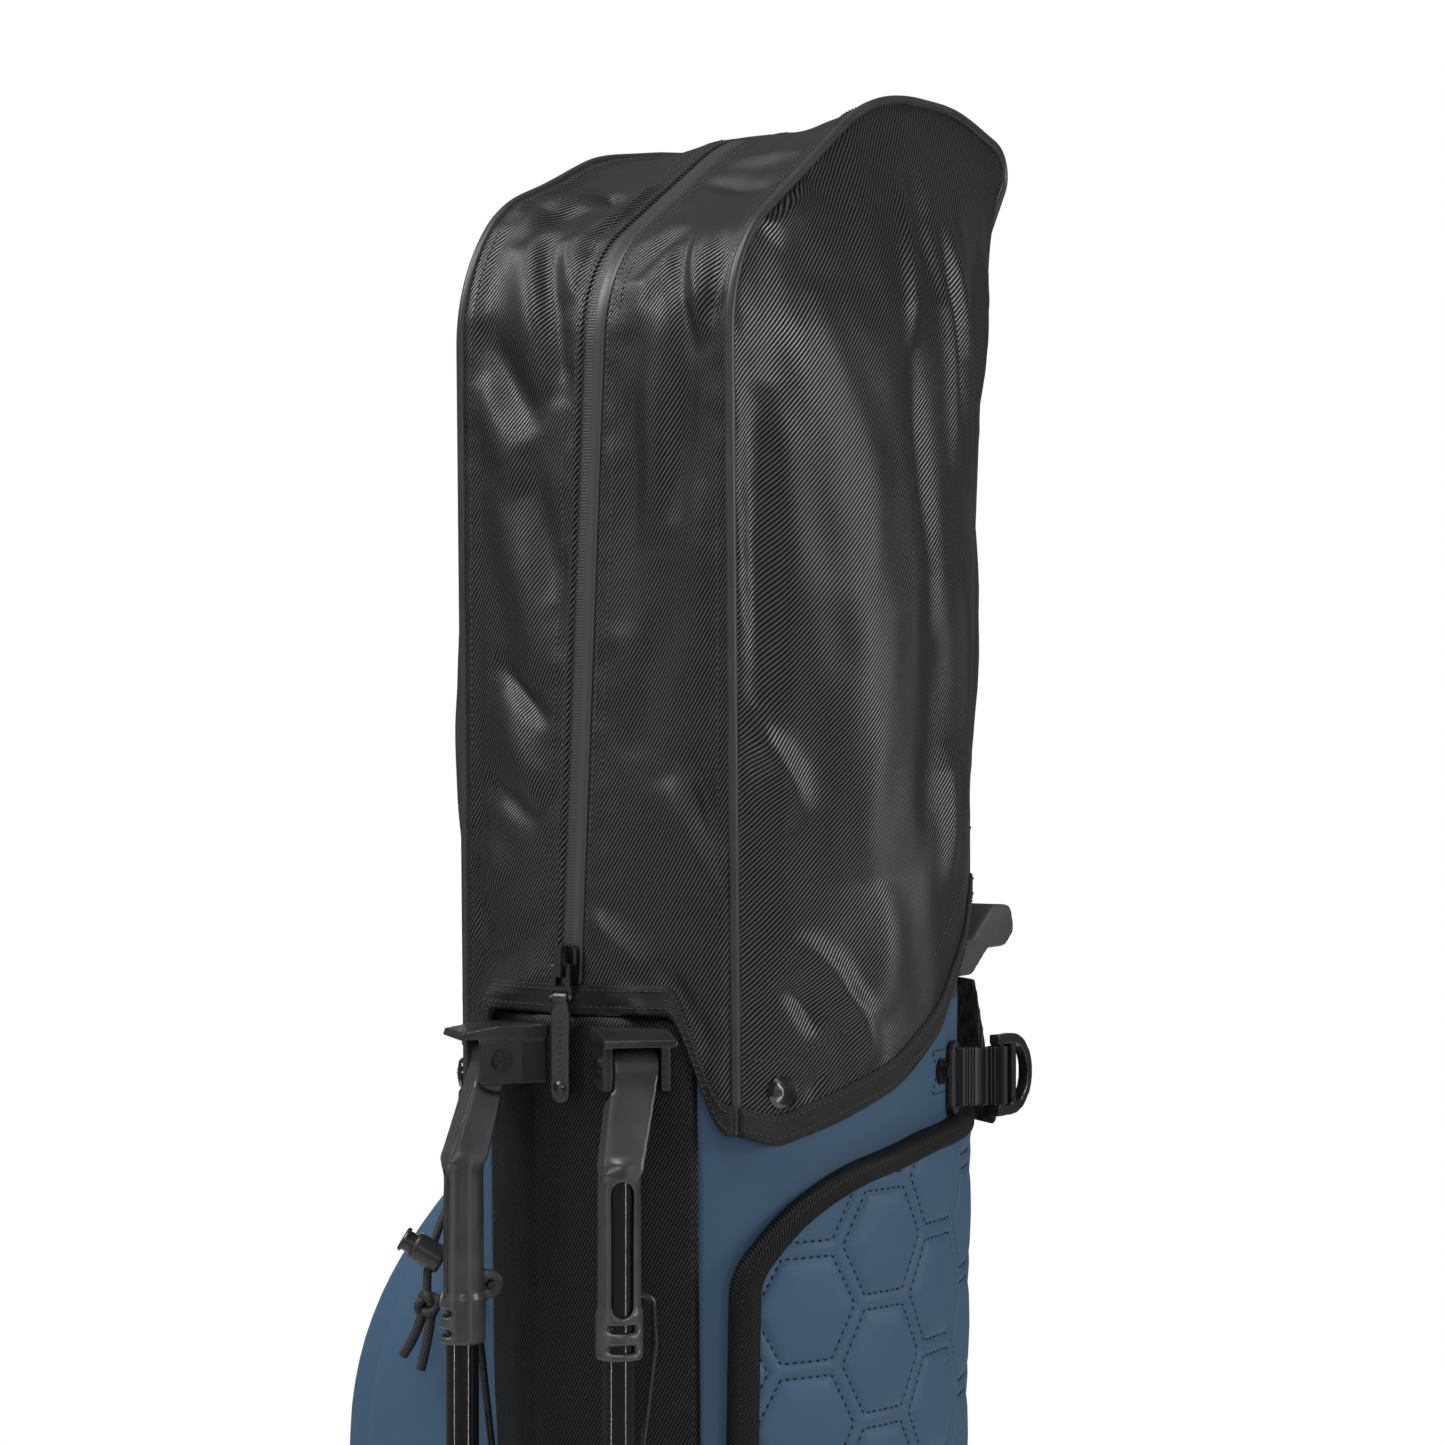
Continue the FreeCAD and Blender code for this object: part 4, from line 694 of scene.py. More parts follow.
def side_panel(u, v, hand):
    """A side panel's outer face and outward directions: u from front to back, v from hem to crown."""
    marks = SEAM.marks
    hem, crown = HEM.reach(u * HEM.along[-1]), SEAM.reach(marks[1] + u * (marks[3] - marks[1]))
    front, back = SEAM.reach(v * marks[1]), SEAM.reach(marks[5] - v * (marks[5] - marks[3]))
    corners = [SEAM.at(k) for k in (0, 5, 1, 3)]
    u, v = u[..., None], v[..., None]
    yz = (1 - v) * hem + v * crown + (1 - u) * front + u * back
    yz -= (1 - v) * ((1 - u) * corners[0] + u * corners[1]) + v * ((1 - u) * corners[2] + u * corners[3])
    u, v = u[..., 0], v[..., 0]
    y, z = yz[..., 0], yz[..., 1]
    under_crown = (1 - v) * SIDE_TALL
    reach = 1 - (1 - np.clip(under_crown / 0.085, 0, 1)) ** 2
    base = np.stack([SEAM_X + side_bulge(y, z) * reach, y, z + crown_rise(hand * SEAM_X, y, z)], -1)
    normal = grid_normals(base)
    edge = np.minimum(np.minimum(u, 1 - u) * SIDE_WIDE, under_crown)
    folds = RIGHT_FOLDS if hand > 0 else LEFT_FOLDS
    stretched = base * np.array([1.0, 1.5, 0.7]) * (1 if hand > 0 else -1)
    broad = 1.9 * MM * cloth_noise(stretched, 0.055, 5) + 0.7 * MM * cloth_noise(stretched, 0.022, 6)
    snap_flat = 1 - bell(np.hypot(y + 83 * MM, z - SNAP_HEIGHT), 14 * MM)
    lift = smoothstep(0, 10 * MM, edge) * snap_flat * (FOLD_GAIN * strokes(y / MM, z / MM, folds) + broad)
    lift += puckers(base * hand, edge, 7)
    turn = np.array([hand, 1, 1])
    return (base + normal * lift[..., None]) * turn, normal * turn


def build_hood():
    fine = np.array([0, 2.6, 4.6, 5.3, 5.7, 6.1, 6.8, 8.2, 10]) * MM
    half = np.concatenate([fine, np.linspace(12, 64, 24) * MM])
    across = np.concatenate([-half[:0:-1], half])
    down = np.linspace(0, SEAM_LENGTH, 400)
    x, distance = np.meshgrid(across, down)
    p = gusset_rows(x, distance)
    points, _ = gusset(x, p)
    weave = np.stack([x, np.interp(p, np.arange(6), SEAM.marks)], -1)
    piece = sheet_piece("hood_gusset_cloth", points, 0.8 * MM, weave)
    finish_piece(piece, TWILL, "hood", "black_twill", "hood_gusset")
    for hand, side in ((1, "right"), (-1, "left")):
        u, v = np.meshgrid(np.linspace(0, 1, 92), np.linspace(0, 1, 165))
        points, _ = side_panel(u, v, hand)
        if hand < 0:
            points = points[:, ::-1]
        piece = sheet_piece(f"hood_side_cloth_{side}", points, 0.8 * MM, points[..., 1:])
        finish_piece(piece, SIDE_TWILL, "hood", "black_twill", f"hood_side_{side}")
        path = SEAM.reach(np.arange(0, SEAM_LENGTH, 3 * MM))
        path[:, 1] += crown_rise(hand * SEAM_X, path[:, 0], path[:, 1])
        path = np.column_stack([np.full(len(path), hand * SEAM_X), path])
        piece = tube_piece(f"hood_piping_cord_{side}", path, 2.2 * MM)
        finish_piece(piece, PIPING, "hood", "zip_tape", f"hood_piping_{side}")


def build_hood_zip():
    """The tape in its slot over the front and crown, with the slit along its left edge."""
    down = np.arange(13 * MM, 489 * MM, 1.6 * MM)
    across = np.array([-3.9, -3.6, -2.4, -1.2, 0, 1.2, 2.6, 4.2, 5.2, 5.35]) * MM
    crest = np.array([-0.9, -0.1, 0.1, 0.12, 0.12, 0.1, 0.05, -0.1, -0.5, -0.9]) * MM
    x, distance = np.meshgrid(across, down)
    points, normal = gusset(x, gusset_rows(x, distance))
    points = points + normal * (crest + 1.0 * MM)[None, :, None]
    piece = sheet_piece("hood_zip_tape", points, 0.6 * MM, np.stack([x, distance], -1))
    finish_piece(piece, ZIP_TAPE, "hood", "zip_tape", "hood_zip")


def hood_rows():
    """Sewing lines of the hood, two on each side of the zip and one beside each piping."""
    rows = []
    long = np.arange(2 * MM, SEAM_LENGTH - 2 * MM, 2 * MM)
    for offset, reach in ((7.4, 0.50), (11.6, 0.50), (58.6, 0.94)):
        for hand in (1, -1):
            line = long[long < reach]
            strip = hand * np.array([offset - 0.5, offset, offset + 0.5]) * MM
            x, distance = np.meshgrid(np.sort(strip), line)
            points, normal = gusset(x, gusset_rows(x, distance))
            rows.append((points[:, 1], normal[:, 1]))
    return rows


def hem_band(heights, lift):
    """Points on the hood at heights up from its hem, panel by panel, standing out by lift."""
    bands = []
    for hand in (1, -1):
        u, h = np.meshgrid(np.linspace(0, 1, 110), heights)
        points, normal = side_panel(u, np.clip(h / SIDE_TALL, 0, 1), hand)
        low = np.minimum(h, 0)[..., None] * np.array([0, 0, 1])
        swell = 1.5 * MM * (bell(u * SIDE_WIDE, 5 * MM) + bell((1 - u) * SIDE_WIDE, 5 * MM))
        bands.append((points + low + normal * (lift[:, None] + swell)[..., None], normal))
    for front in (True, False):
        x, h = np.meshgrid(np.linspace(-SEAM_X, SEAM_X, 90), heights)
        if front:
            p = front_start(x) + np.clip(h, 0, 1) / SEAM.marks[1]
        else:
            p = 5 - np.clip(h, 0, 1) / (SEAM.marks[5] - SEAM.marks[4])
        points, _ = gusset(x, p)
        normal = np.zeros_like(points)
        normal[..., 1] = -1 if front else 1
        normal[..., 0] = x * 4
        normal = unit(normal)
        swell = 1.5 * MM * bell(SEAM_X - np.abs(x), 5 * MM)
        low = np.minimum(h, 0)[..., None] * np.array([0, 0, 1])
        bands.append((points + low + normal * (lift[:, None] + swell)[..., None], normal))
    return bands


def build_hem():
    heights = np.array([-1.2, -1.0, -0.2, 1, 3, 5, 7, 9, 10.4, 11, 11.2]) * MM
    lift = np.array([-0.9, 0.1, 0.9, 1.2, 1.2, 1.2, 1.2, 1.2, 1.1, 0.8, 0.0]) * MM
    for k, (points, _) in enumerate(hem_band(heights, lift)):
        along = np.linspace(0, 0.3, points.shape[1])
        weave = np.stack(np.meshgrid(heights, along, indexing="ij"), -1)
        piece = sheet_piece(f"hood_binding_{k}", points, 0.8 * MM, weave)
        finish_piece(piece, TAPE, "hood", "black_web", "hood_binding")
    rows = hood_rows()
    near = np.array([-0.5, 0, 0.5])
    # two rows on the binding all round, and one on each side panel above it
    for height, stand, panels in ((2.2, 1.25, 4), (9.0, 1.25, 4), (32, 0.1, 2)):
        for points, normal in hem_band((height + near) * MM, np.full(3, stand * MM))[:panels]:
            rows.append((points[1], normal[1]))
    sew("hood_stitches", rows, GREY_THREAD, "hood", "black_web", 2.8 * MM)


# ---------------------------------------------------------------- trunk
def trunk_half(z):
    """Half width and half depth of the trunk's oval at a height."""
    k = (z - 78 * MM) / (774 * MM)
    return (86 + 10 * k) * MM, (110 + 12 * k) * MM


def trunk_point(turn, z, grow=0.0):
    """A point on the trunk's oval, turned from the front towards +X, grown outwards."""
    turn, z, grow = np.broadcast_arrays(turn, z, grow)
    wide, deep = trunk_half(z)
    base = np.stack([wide * np.sin(turn), -deep * np.cos(turn), z], -1)
    out = unit(np.stack([np.sin(turn) / wide, -np.cos(turn) / deep, np.zeros_like(z)], -1))
    return base + out * grow[..., None], out


def build_trunk():
    heights = np.linspace(78, 852, 156) * MM
    front, spine, full = 49.5 * MM, 36 * MM, 2 * math.pi
    # each panel's two edges: a whole turn's share, and the half width of the panel that it meets there
    panels = [
        ("trunk_front_panel", (0, -front), (0, front), 44, PANEL_TWILL, "black_twill"),
        ("trunk_right_panel", (0, front), (0.5, -spine), 90, BLUE, "blue_hide"),
        ("trunk_left_panel", (0.5, spine), (1, -front), 90, BLUE, "blue_hide"),
        ("trunk_spine_panel", (0.5, -spine), (0.5, spine), 34, PANEL_TWILL, "black_twill"),
    ]
    rows = []
    for node, start, end, count, material, slot in panels:
        share, z = np.meshgrid(np.linspace(0, 1, count), heights)
        wide = trunk_half(z)[0]
        low, high = (full * part + np.arcsin(half / wide) for part, half in (start, end))
        turn = low + (high - low) * share
        edge = np.minimum(share, 1 - share) * (count - 1)
        flat, _ = trunk_point(turn, z)
        ripple = 0.35 * cloth_noise(flat, 0.05, 11) * (z > LOW_HEM)
        points, out = trunk_point(turn, z, MM * (0.1 + ripple - 0.5 * bell(edge, 0.8)))
        piece = sheet_piece(node + "_cloth", points, 2.2 * MM)
        finish_piece(piece, material, "bag", slot, node)
        if material == PANEL_TWILL:
            rows += [(points[:, k], out[:, k]) for k in (1, -2)]
    # the stitched patch under each of the hood's studs
    bow = np.array([(-8, 9), (8, 9), (3, 0), (8, -9), (-8, -9), (-3, 0), (-8, 9)]) * MM
    line = resample(bow, 90)
    for hand in (1, -1):
        turn = hand * (STUD_TURN + line[:, 0] / (100 * MM))
        rows.append(trunk_point(turn, SNAP_HEIGHT + line[:, 1], 0.3 * MM))
    sew("trunk_stitches", rows, BLACK_THREAD, "bag", "black_twill", 3.2 * MM)


# ---------------------------------------------------------------- quilted pocket
QUILT_EDGE = Path([(-99.5, 132), (-99.5, 750), (-84, 772), (-58, 789), (0, 799), (86, 803)],
                  [0, 30, 60, 90, 160, 0])
HEX_HALF = 24.2 * MM
QUILT_LOW, QUILT_FRONT, QUILT_BACK, QUILT_THICK = 130 * MM, -99.5 * MM, 86 * MM, 6.8 * MM


def quilt_top(y):
    return np.interp(y, QUILT_EDGE.points[1:, 0], QUILT_EDGE.points[1:, 1])


def quilt_turn(y, z):
    return np.arccos(np.clip(-y / (trunk_half(z)[1] + QUILT_THICK), -1, 1))


# distance round the pocket against the turn from the front
TURNS = np.linspace(0.5, 2.8, 500)
QUILT_WIDE, QUILT_DEEP = 100 * MM, 124 * MM
TURN_STEPS = np.hypot(np.diff(QUILT_WIDE * np.sin(TURNS)), np.diff(QUILT_DEEP * np.cos(TURNS)))
TURN_ARC = np.concatenate([[0], np.cumsum(TURN_STEPS)])
HEX_COLUMN, HEX_ROW = 1.5 * HEX_HALF * 2 / math.sqrt(3), 2 * HEX_HALF


def hex_depth(s, z):
    """How far a place on the quilt lies inside its hexagon."""
    best = np.full(np.shape(s), -1.0)
    for shift in (0, 1):
        ds = (s / HEX_COLUMN - shift + 1) % 2 - 1
        dz = (z / HEX_ROW - shift / 2 + 0.5) % 1 - 0.5
        a, b = np.abs(ds * HEX_COLUMN), np.abs(dz * HEX_ROW)
        best = np.maximum(best, HEX_HALF - np.maximum(b, b / 2 + a * math.sqrt(3) / 2))
    return best


QUILT_SHIFT_S, QUILT_SHIFT_Z = -9.1 * MM, 16.6 * MM
STITCH_INSET = 3.2 * MM


def quilt_surface(turn, z):
    s = np.interp(turn, TURNS, TURN_ARC) + QUILT_SHIFT_S
    depth = hex_depth(s, z + QUILT_SHIFT_Z)
    inside = depth - STITCH_INSET
    puff = 2.4 * MM * (1 - np.exp(-np.maximum(inside, 0) / (4.5 * MM)))
    puff += 0.9 * MM * (1 - np.exp(-np.maximum(-inside, 0) / (1.3 * MM))) - 0.5 * MM * bell(inside, 0.9 * MM)
    return trunk_point(turn, z, QUILT_THICK - 1.5 * MM + puff)


def quilt_grid(ys, vs):
    y, v = np.meshgrid(ys, vs)
    z = QUILT_LOW + (quilt_top(y) - QUILT_LOW) * v
    top, low = quilt_top(y) - z, z - QUILT_LOW
    edge = np.minimum(np.minimum(y - QUILT_FRONT, QUILT_BACK - y), np.minimum(top, low))
    k = 1 - np.clip(edge / (5 * MM), 0, 1)
    drop = (QUILT_THICK - 1.2 * MM) * (1 - np.sqrt(1 - np.minimum(k, 0.999) ** 2))
    turn = quilt_turn(y, z)
    outer, out = quilt_surface(turn, z)
    back, _ = trunk_point(turn, z, 0.3 * MM)
    return outer - out * drop[..., None], back


def build_quilt():
    ends = np.arccos(np.array([-QUILT_FRONT, -QUILT_BACK]) / QUILT_DEEP)
    ys = -QUILT_DEEP * np.cos(np.linspace(*ends, 190))
    points, back = quilt_grid(ys, np.linspace(0, 1, 620))
    piece = sheet_piece("quilted_pocket_cloth", points, 0, inner=back)
    finish_piece(piece, BLUE, "bag", "blue_hide", "quilted_pocket")
    # each hexagon is sewn round inside its channel
    rows = []
    corners = np.radians(np.arange(0, 361, 60))
    ring = (HEX_HALF - STITCH_INSET) * 2 / math.sqrt(3)
    for i in range(-1, 9):
        for j in range(2, 20):
            s0 = i * HEX_COLUMN - QUILT_SHIFT_S
            z0 = (j + (i % 2) / 2) * HEX_ROW - QUILT_SHIFT_Z
            line = resample(np.column_stack([s0 + ring * np.cos(corners), z0 + ring * np.sin(corners)]), 100)
            turn = np.interp(line[:, 0], TURN_ARC, TURNS)
            place, out = quilt_surface(turn, line[:, 1])
            inside = (place[:, 1] > QUILT_FRONT + 6 * MM) & (place[:, 1] < QUILT_BACK - 5 * MM)
            inside &= (line[:, 1] > QUILT_LOW + 5 * MM) & (line[:, 1] < quilt_top(place[:, 1]) - 9 * MM)
            inside &= (line[:, 0] > 0) & (line[:, 0] < TURN_ARC[-1])
            for run in np.split(np.arange(100), np.flatnonzero(np.diff(inside.astype(int))) + 1):
                if inside[run[0]] and len(run) > 4:
                    rows.append((place[run], out[run]))
    sew("quilt_stitches", rows, NAVY_THREAD, "bag", "blue_hide", 3.6 * MM, 0.74, 0.5 * MM, 0.1)


def build_quilt_binding():
    """Twill tape folded over the quilted pocket's front and top edges, sewn twice."""
    distance = np.linspace(0, QUILT_EDGE.along[-1], 330)
    path, aside = QUILT_EDGE.reach(distance), -QUILT_EDGE.normals(distance)
    inset = np.array([0.2, -0.1, -0.2, 0.0, 0.4, 1.4, 3.0, 4.8, 6.6, 7.5, 7.9, 7.9]) * MM
    stand = np.array([0.4, 1.6, 3.4, 5.2, 6.5, 7.3, 7.6, 7.7, 7.6, 7.3, 6.6, 5.2]) * MM

    def tape(inset, stand):
        yz = path[None] + aside[None] * inset[:, None, None]
        return trunk_point(quilt_turn(yz[..., 0], yz[..., 1]), yz[..., 1], stand[:, None])

    points, _ = tape(inset, stand)
    weave = np.stack(np.broadcast_arrays(distance[None, :], inset[:, None]), -1)
    piece = sheet_piece("quilt_binding_tape", points, 0.7 * MM, weave)
    finish_piece(piece, EDGE_TWILL, "bag", "black_web", "quilted_pocket_binding")
    rows = [tuple(a[0] for a in tape(np.array([at]) * MM, np.array([7.75 * MM]))) for at in (2.2, 5.9)]
    sew("quilt_binding_stitches", rows, GREY_THREAD, "bag", "black_web", 3.0 * MM, 0.6, 0.40 * MM)


# ---------------------------------------------------------------- pockets on the left and back
APPAREL_ROWS = np.array([
    # height, centre x, centre y, half width, half depth in mm
    (118, -44, -6, 42, 60), (120, -52, -8, 72, 78), (133, -55, -9, 86, 86), (146, -58, -10, 95, 91),
    (190, -62, -10, 101, 96), (400, -62, -10, 103, 97), (640, -62, -10, 103, 97), (692, -62, -10, 99, 97),
    (742, -54, -8, 88, 91),
    (772, -42, -6, 74, 86), (790, -33, -4, 66, 84), (796, -24, -2, 58, 78)])
# vertical folds: degrees round from the front, heights, half width in degrees, height in mm
APPAREL_FOLDS = [
    (-62, 770, -52, 430, 5, 3.5, 3), (-50, 760, -38, 480, 4, -4.0, 2), (-38, 766, -30, 520, 5, 3.2, 2),
    (-78, 740, -70, 300, 6, -3.0, 3), (-24, 772, -20, 560, 4, -3.0, 2), (-10, 770, -12, 540, 6, 3.0, 3),
    (6, 776, 2, 600, 4, -2.6, 2), (22, 770, 14, 420, 7, 3.0, 4), (40, 760, 34, 520, 5, -3.0, 3),
    (-44, 430, -30, 150, 8, -3.0, 4), (-60, 400, -66, 160, 8, 3.0, 4), (0, 460, 8, 180, 9, -2.6, 5),
    (30, 400, 24, 160, 8, 2.4, 4), (-20, 420, -12, 170, 7, 2.4, 4),
]


APPAREL_ZIP_TURN = 44.4


def apparel_surface(turn, z):
    """The large pocket's outer face: turn 0 faces -X, negative towards the front."""
    # each height looks a little up and down, which rounds the corners between the rows
    near = np.clip(z / MM + np.array([-20, -10, 0, 10, 20])[:, None, None], 118, 796)
    row = [np.interp(near, APPAREL_ROWS[:, 0], APPAREL_ROWS[:, k]).mean(0) * MM for k in range(1, 5)]
    x = row[0] - row[2] * np.cos(turn)
    y = row[1] + row[3] * np.sin(turn)
    base = np.stack([x, np.clip(y, -106 * MM, 88 * MM), z], -1)
    out = unit(np.stack([-np.cos(turn) / row[2], np.sin(turn) / row[3], np.zeros_like(z)], -1))
    degrees = np.degrees(turn)
    # eight millimetres of height count as one degree round the pocket
    folds = [(a, b / 8, c, d / 8, *rest) for a, b, c, d, *rest in APPAREL_FOLDS]
    lift = strokes(degrees, z / MM / 8, folds)
    broad = 2.2 * MM * cloth_noise(base * np.array([1, 1, 0.5]), 0.06, 21)
    calm = 1 - bell(degrees - 44, 7) * (z > 190 * MM) * (z < 690 * MM)
    return base + out * ((lift + broad - 2 * MM) * calm)[..., None], out


def build_apparel():
    heights = [np.linspace(*span) for span in ((118, 146, 14), (150, 740, 190), (743, 796, 24))]
    turn, z = np.meshgrid(np.radians(np.linspace(-112, 112, 190)), np.concatenate(heights) * MM)
    points, _ = apparel_surface(turn, z)
    piece = sheet_piece("apparel_pocket_cloth", points[:, ::-1], 1.6 * MM)
    finish_piece(piece, BLUE, "bag", "blue_hide", "apparel_pocket")
    rows = []
    height = np.arange(185, 700, 2)[None] * MM
    for off in (-5.084, 5.084):
        turn = np.full(height.shape, math.radians(APPAREL_ZIP_TURN + off))
        rows.append([a[0] for a in apparel_surface(turn, height)])
    sew("apparel_stitches", rows, NAVY_THREAD, "bag", "blue_hide", 3.2 * MM)


LEG_NECK_HEIGHT, LEG_NECK_REACH = 797 * MM, 14 * MM


def melt(piece, height, reach):
    """Runs the steps of a moulding together near one height."""
    group = piece.vertex_groups.new(name="melt")
    for vertex in piece.data.vertices:
        group.add([vertex.index], float(bell(vertex.co.z - height, reach)), "REPLACE")
    modifier = piece.modifiers.new("melt", "SMOOTH")
    modifier.factor, modifier.iterations, modifier.vertex_group = 0.5, 70, "melt"
    bake(piece)


def soft_copy(name, node, voxel, smooth, puff=0.0):
    """A closed copy of a CAD node with its edges softened; puff blows it up as cloth by up to that much."""
    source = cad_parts[node]
    piece = link(name, source.data.copy())
    piece.data.materials.clear()
    for kind, settings in (("REMESH", {"mode": "VOXEL", "voxel_size": voxel}),
                           ("SMOOTH", {"factor": 0.5, "iterations": smooth})):
        modifier = piece.modifiers.new(kind.lower(), kind)
        for key, value in settings.items():
            setattr(modifier, key, value)
    bake(piece)
    if puff:
        inflate(piece, puff)
    piece.data.polygons.foreach_set("use_smooth", [True] * len(piece.data.polygons))
    return piece


def places(mesh):
    return np.array([v.co[:] for v in mesh.vertices])


def bake(piece):
    seen = piece.evaluated_get(bpy.context.evaluated_depsgraph_get())
    mesh = bpy.data.meshes.new_from_object(seen)
    piece.modifiers.clear()
    piece.data = mesh


def inflate(piece, cap):
    """Cloth with a little pressure inside, no gravity, and each point kept within cap of where it began."""
    before = places(piece.data)
    modifier = piece.modifiers.new("cloth", "CLOTH")
    modifier.settings.use_pressure = True
    modifier.settings.uniform_pressure_force = 4
    modifier.settings.effector_weights.gravity = 0
    scene = bpy.context.scene
    for step in range(1, 15):
        scene.frame_set(step)
    bake(piece)
    scene.frame_set(1)
    move = places(piece.data) - before
    far = np.linalg.norm(move, axis=1, keepdims=True)
    after = before + move * np.minimum(1, cap / np.maximum(far, 1e-9))
    piece.data.vertices.foreach_set("co", after.ravel())
    piece.data.update()


def wrinkle(piece, scale, height, seed):
    """Soft wrinkles over a closed piece, along its own normals."""
    mesh = piece.data
    place = places(mesh)
    normal = np.array([v.normal[:] for v in mesh.vertices])
    amount = height * cloth_noise(place[None], scale, seed)[0]
    mesh.vertices.foreach_set("co", (place + normal * amount[:, None]).ravel())
    mesh.update()


def build_ball_pocket():
    piece = soft_copy("ball_pocket_cloth", "ball_pocket", 3.2 * MM, 3, 3 * MM)
    wrinkle(piece, 0.05, 2.0 * MM, 31)
    wrinkle(piece, 0.018, 0.6 * MM, 32)
    finish_piece(piece, BLUE, "bag", "blue_hide", "ball_pocket")
    # corded seams round the front and the sloping top
    for hand, side in ((1, "right"), (-1, "left")):
        edge = [(88.5, 112), (158, 117), (165.8, 200), (166.8, 292), (121, 343.5), (88.5, 344)]
        line, _ = rounded(np.array(edge) * MM, np.array([0, 20, 60, 12, 10, 0]) * MM)
        # the cord keeps to the rounded corner of the pocket
        path = np.column_stack([hand * np.clip(62 * MM - (line[:, 0] - 144 * MM), 55.5 * MM, 62 * MM), line])
        tube = tube_piece(f"ball_pocket_cord_{side}", path, 1.5 * MM, 8)
        finish_piece(tube, PIPING, "bag", "zip_tape")


# ---------------------------------------------------------------- straps, hardware and cord
def build_soft_parts():
    plan = [
        # name, node, voxel, smoothing, material, body, slot; a star stands for right and then left
        ("strap_web_pieces", "strap_webbing", 1.0, 2, WEBBING, "bag", "black_web"),
        ("strap_loop_pieces", "strap_loops", 0.6, 3, WEBBING, "bag", "black_web"),
        ("grommet_pieces", "strap_grommets", 0.5, 5, RUBBER, "bag", "black_rubber"),
        ("handle_moulding", "lift_handle", 1.3, 5, GREY_MOULDED, "bag", "grey_moulding"),
        ("leg_head_moulding_*", "leg_head_*", 0.7, 16, LEG_MOULDED_PAINTED_LIT, "*_leg", "black_moulding"),
        ("bracket_moulding_*", "leg_bracket_*", 0.6, 3, MOULDED, "bag", "black_moulding"),
        ("buckle_moulding_*", "ring_buckle_*", 0.45, 4, GLOSS_MOULDED, "*_buckle", "black_moulding"),
        ("pull_tab_leather", "pull_tab", 0.35, 2, LEATHER, "hood_tab", "black_leather"),
    ]
    for name, node, voxel, smooth, material, body, slot in plan:
        for side in ("right", "left") if "*" in name else ("",):
            here = node.replace("*", side)
            piece = soft_copy(name.replace("*", side), here, voxel * MM, smooth)
            if material == LEG_MOULDED_PAINTED_LIT:
                melt(piece, LEG_NECK_HEIGHT, LEG_NECK_REACH)
            finish_piece(piece, material, body.replace("*", side), slot, here)
    for hand, side in ((1, "right"), (-1, "left")):
        piece = soft_copy(f"shoulder_pad_{side}", f"shoulder_strap_{side}", 3.2 * MM, 3, 3 * MM)
        wrinkle(piece, 0.03, 1.2 * MM, 41 + hand)
        finish_piece(piece, PAD_MESH, "bag", "black_twill", f"shoulder_strap_{side}")


def build_tab_stitches():
    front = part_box("pull_tab")[0][1] + 0.8 * MM
    z = np.arange(829, 852, 0.5) * MM
    line = np.column_stack([np.zeros(len(z)), np.full(len(z), front), z])
    facing = np.tile((0, -1, 0), (len(z), 1))
    sew("tab_stitches", [(line, facing)], BLACK_THREAD, "hood_tab", "black_leather", 2.4 * MM, 0.6, 0.3 * MM)


CORD_RADIUS = 1.8 * MM
TAIL_RADIUS = 2.1 * MM
CORD_ROUTE = [(-75, -97, 768), (-75.5, -105.5, 757), (-77, -110.5, 743), (-75.5, -111.5, 730)]
TAIL_ROUTES = [[(-77.3, -111.5, 727), (-79.5, -113, 716), (-86.5, -113.5, 707)],
               [(-73.4, -111.5, 727), (-73.5, -113.5, 715), (-77, -114.5, 702)]]


def nurbs(name, route, radius):
    data = bpy.data.curves.new(name, "CURVE")
    data.dimensions = "3D"
    data.bevel_depth = radius
    data.bevel_resolution = 5
    data.use_fill_caps = True
    data.resolution_u = 16
    line = data.splines.new("NURBS")
    line.points.add(len(route) - 1)
    for point, place in zip(line.points, route):
        point.co = (*(v * MM for v in place), 1)
    line.order_u = 3
    line.use_endpoint_u = True
    made = bpy.data.objects.new(name, data)
    bpy.context.scene.collection.objects.link(made)
    return made


def build_drawcord():
    cord = nurbs("drawcord_run", CORD_ROUTE, CORD_RADIUS)
    finish_piece(cord, CORD, "bag", "black_web", "drawcord")
    for k, route in enumerate(TAIL_ROUTES):
        finish_piece(nurbs(f"drawcord_tail_{k}", route, TAIL_RADIUS), CORD, "bag", "black_web")
    turn = np.linspace(0, 2 * math.pi, 90)
    ring = 3.6 * MM * (1 + 0.32 * np.cos(3 * turn))
    x, y, z = ring * np.cos(2 * turn) * 0.95, 1.9 * MM * np.sin(3 * turn), ring * np.sin(2 * turn)
    knot = np.column_stack([x, y, z]) + np.array([-75.4, -111.5, 728.5]) * MM
    piece = tube_piece("drawcord_knot", knot, 1.9 * MM, 10)
    finish_piece(piece, CORD, "bag", "black_web", "cord_knot")


# ---------------------------------------------------------------- carried-over CAD parts
def paint_cad():
    plan = [
        (MOULDED, "top_collar collar_dividers stay_rods base_shell foot_plate actuator_yoke rod_guides "
                  "cord_lock_barrel cord_lock_button"),
        (LINER, "divider_sleeves"), (RUBBER, "base_sole foot_plate_sole leg_foot_right leg_foot_left"),
        (GLOSS, "leg_tube_right leg_tube_left"), (WIRE, "actuator_rod actuator_arm_right actuator_arm_left"),
        (METAL, "base_hinge_pin foot_plate_pin leg_pins body_studs hood_zip_slider pull_link pull_rivet "
                "apparel_zip_slider ball_zip_slider"),
        (CAP, "hood_snaps"),
        (POCKET_ZIP_TAPE, "pocket_zips"),
    ]
    for material, nodes in plan:
        for node in nodes.split():
            paint_node(node, material)


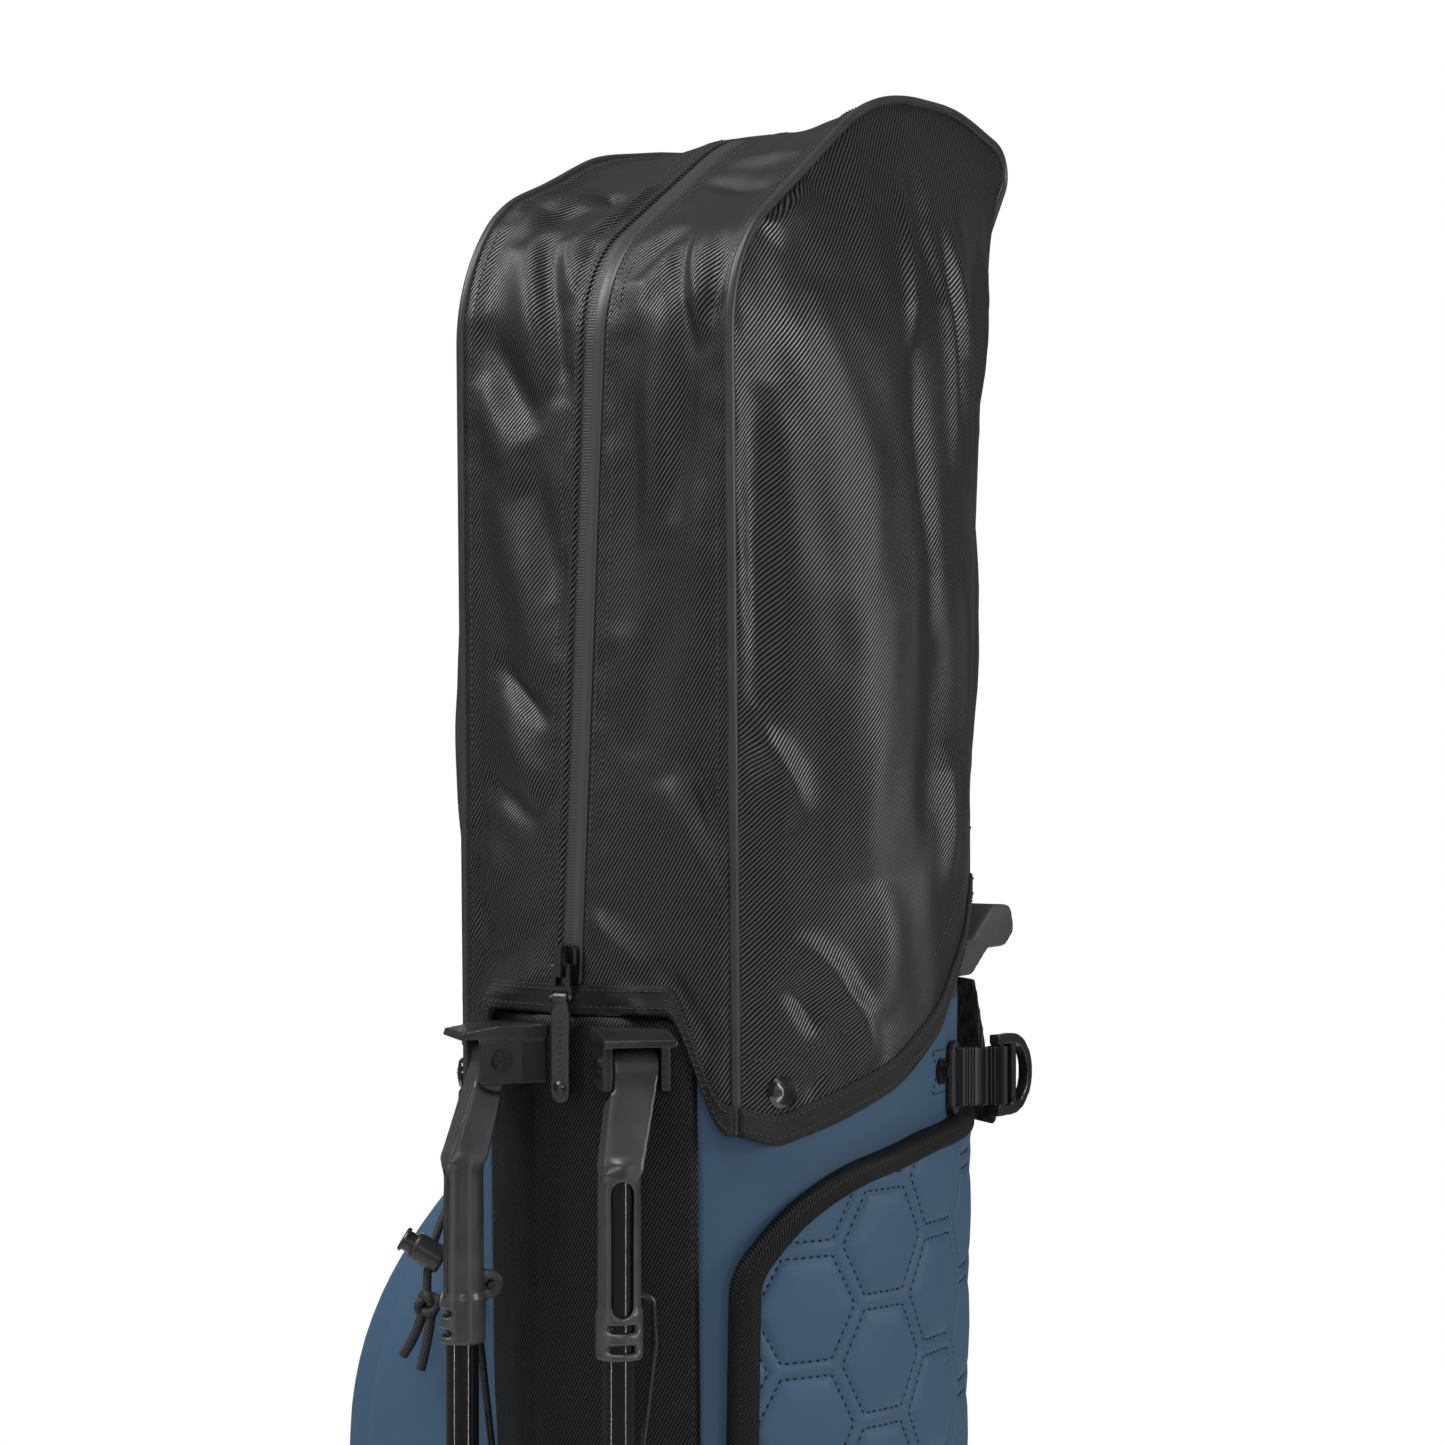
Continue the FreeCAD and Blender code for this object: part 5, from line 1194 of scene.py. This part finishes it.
# ---------------------------------------------------------------- floor and light
def area_light(name, place, target, size, energy, tall=None):
    """A disk of light, or an upright strip when tall is given."""
    data = bpy.data.lights.new(name, "AREA")
    data.shape = "RECTANGLE" if tall else "DISK"
    data.size, data.size_y, data.energy = size, tall or size, energy
    lamp = bpy.data.objects.new(name, data)
    bpy.context.scene.collection.objects.link(lamp)
    lamp.location = place
    lamp.rotation_euler = (Vector(target) - Vector(place)).to_track_quat("-Z", "Y").to_euler()


def build_studio():
    turn = np.linspace(0, 2 * math.pi, 72, endpoint=False)
    rim = [(1.9 * math.cos(a), 1.9 * math.sin(a), 0) for a in turn]
    floor = mesh_piece("floor", rim, [tuple(range(72))])
    n = Nodes("floor_paint")
    rough = n.ramp(n.noise(n.place(), 3), 0.3, 0.7, 0.65, 0.75)
    floor.data.materials.append(n.set(base=grey(0.86), rough=rough))
    world = bpy.data.worlds.new("studio")
    world.use_nodes = True
    nodes, links = world.node_tree.nodes, world.node_tree.links
    nodes.clear()
    out = nodes.new("ShaderNodeOutputWorld")
    mix, path = nodes.new("ShaderNodeMixShader"), nodes.new("ShaderNodeLightPath")
    seen, lit = nodes.new("ShaderNodeBackground"), nodes.new("ShaderNodeBackground")
    for background, strength in ((seen, 1.0), (lit, 0.14)):
        background.inputs[0].default_value = (1, 1, 1, 1)
        background.inputs[1].default_value = strength
    links.new(path.outputs["Is Camera Ray"], mix.inputs[0])
    links.new(lit.outputs[0], mix.inputs[1])
    links.new(seen.outputs[0], mix.inputs[2])
    links.new(mix.outputs[0], out.inputs[0])
    bpy.context.scene.world = world
    bpy.context.scene.view_settings.view_transform = "Standard"
    area_light("key", (-1.62, -1.14, 2.9), (0, 0, 0.98), 1.0, 56)
    area_light("side", (2.4, 0.8, 1.5), (0, 0, 1.05), 0.8, 30)
    area_light("front", (1.3, -2.3, 1.5), (0, 0, 0.9), 0.7, 10)
    area_light("rear", (-1.6, 2.6, 0.7), (0, 0, 0.7), 1.0, 22)
    area_light("top", (0.2, -0.9, 3.1), (0, 0, 0.9), 1.2, 40)
    area_light("strip_left", (-0.82, -2.04, 0.8), (0, 0, 0.8), 0.03, 4, 1.5)
    area_light("strip_right", (2.09, -0.68, 0.8), (0, 0, 0.8), 0.03, 4, 1.5)


build_drawcord()
build_hood()
build_hood_zip()
build_hem()
build_trunk()
build_quilt()
build_quilt_binding()
build_apparel()
build_ball_pocket()
build_soft_parts()
build_tab_stitches()
paint_cad()
build_studio()
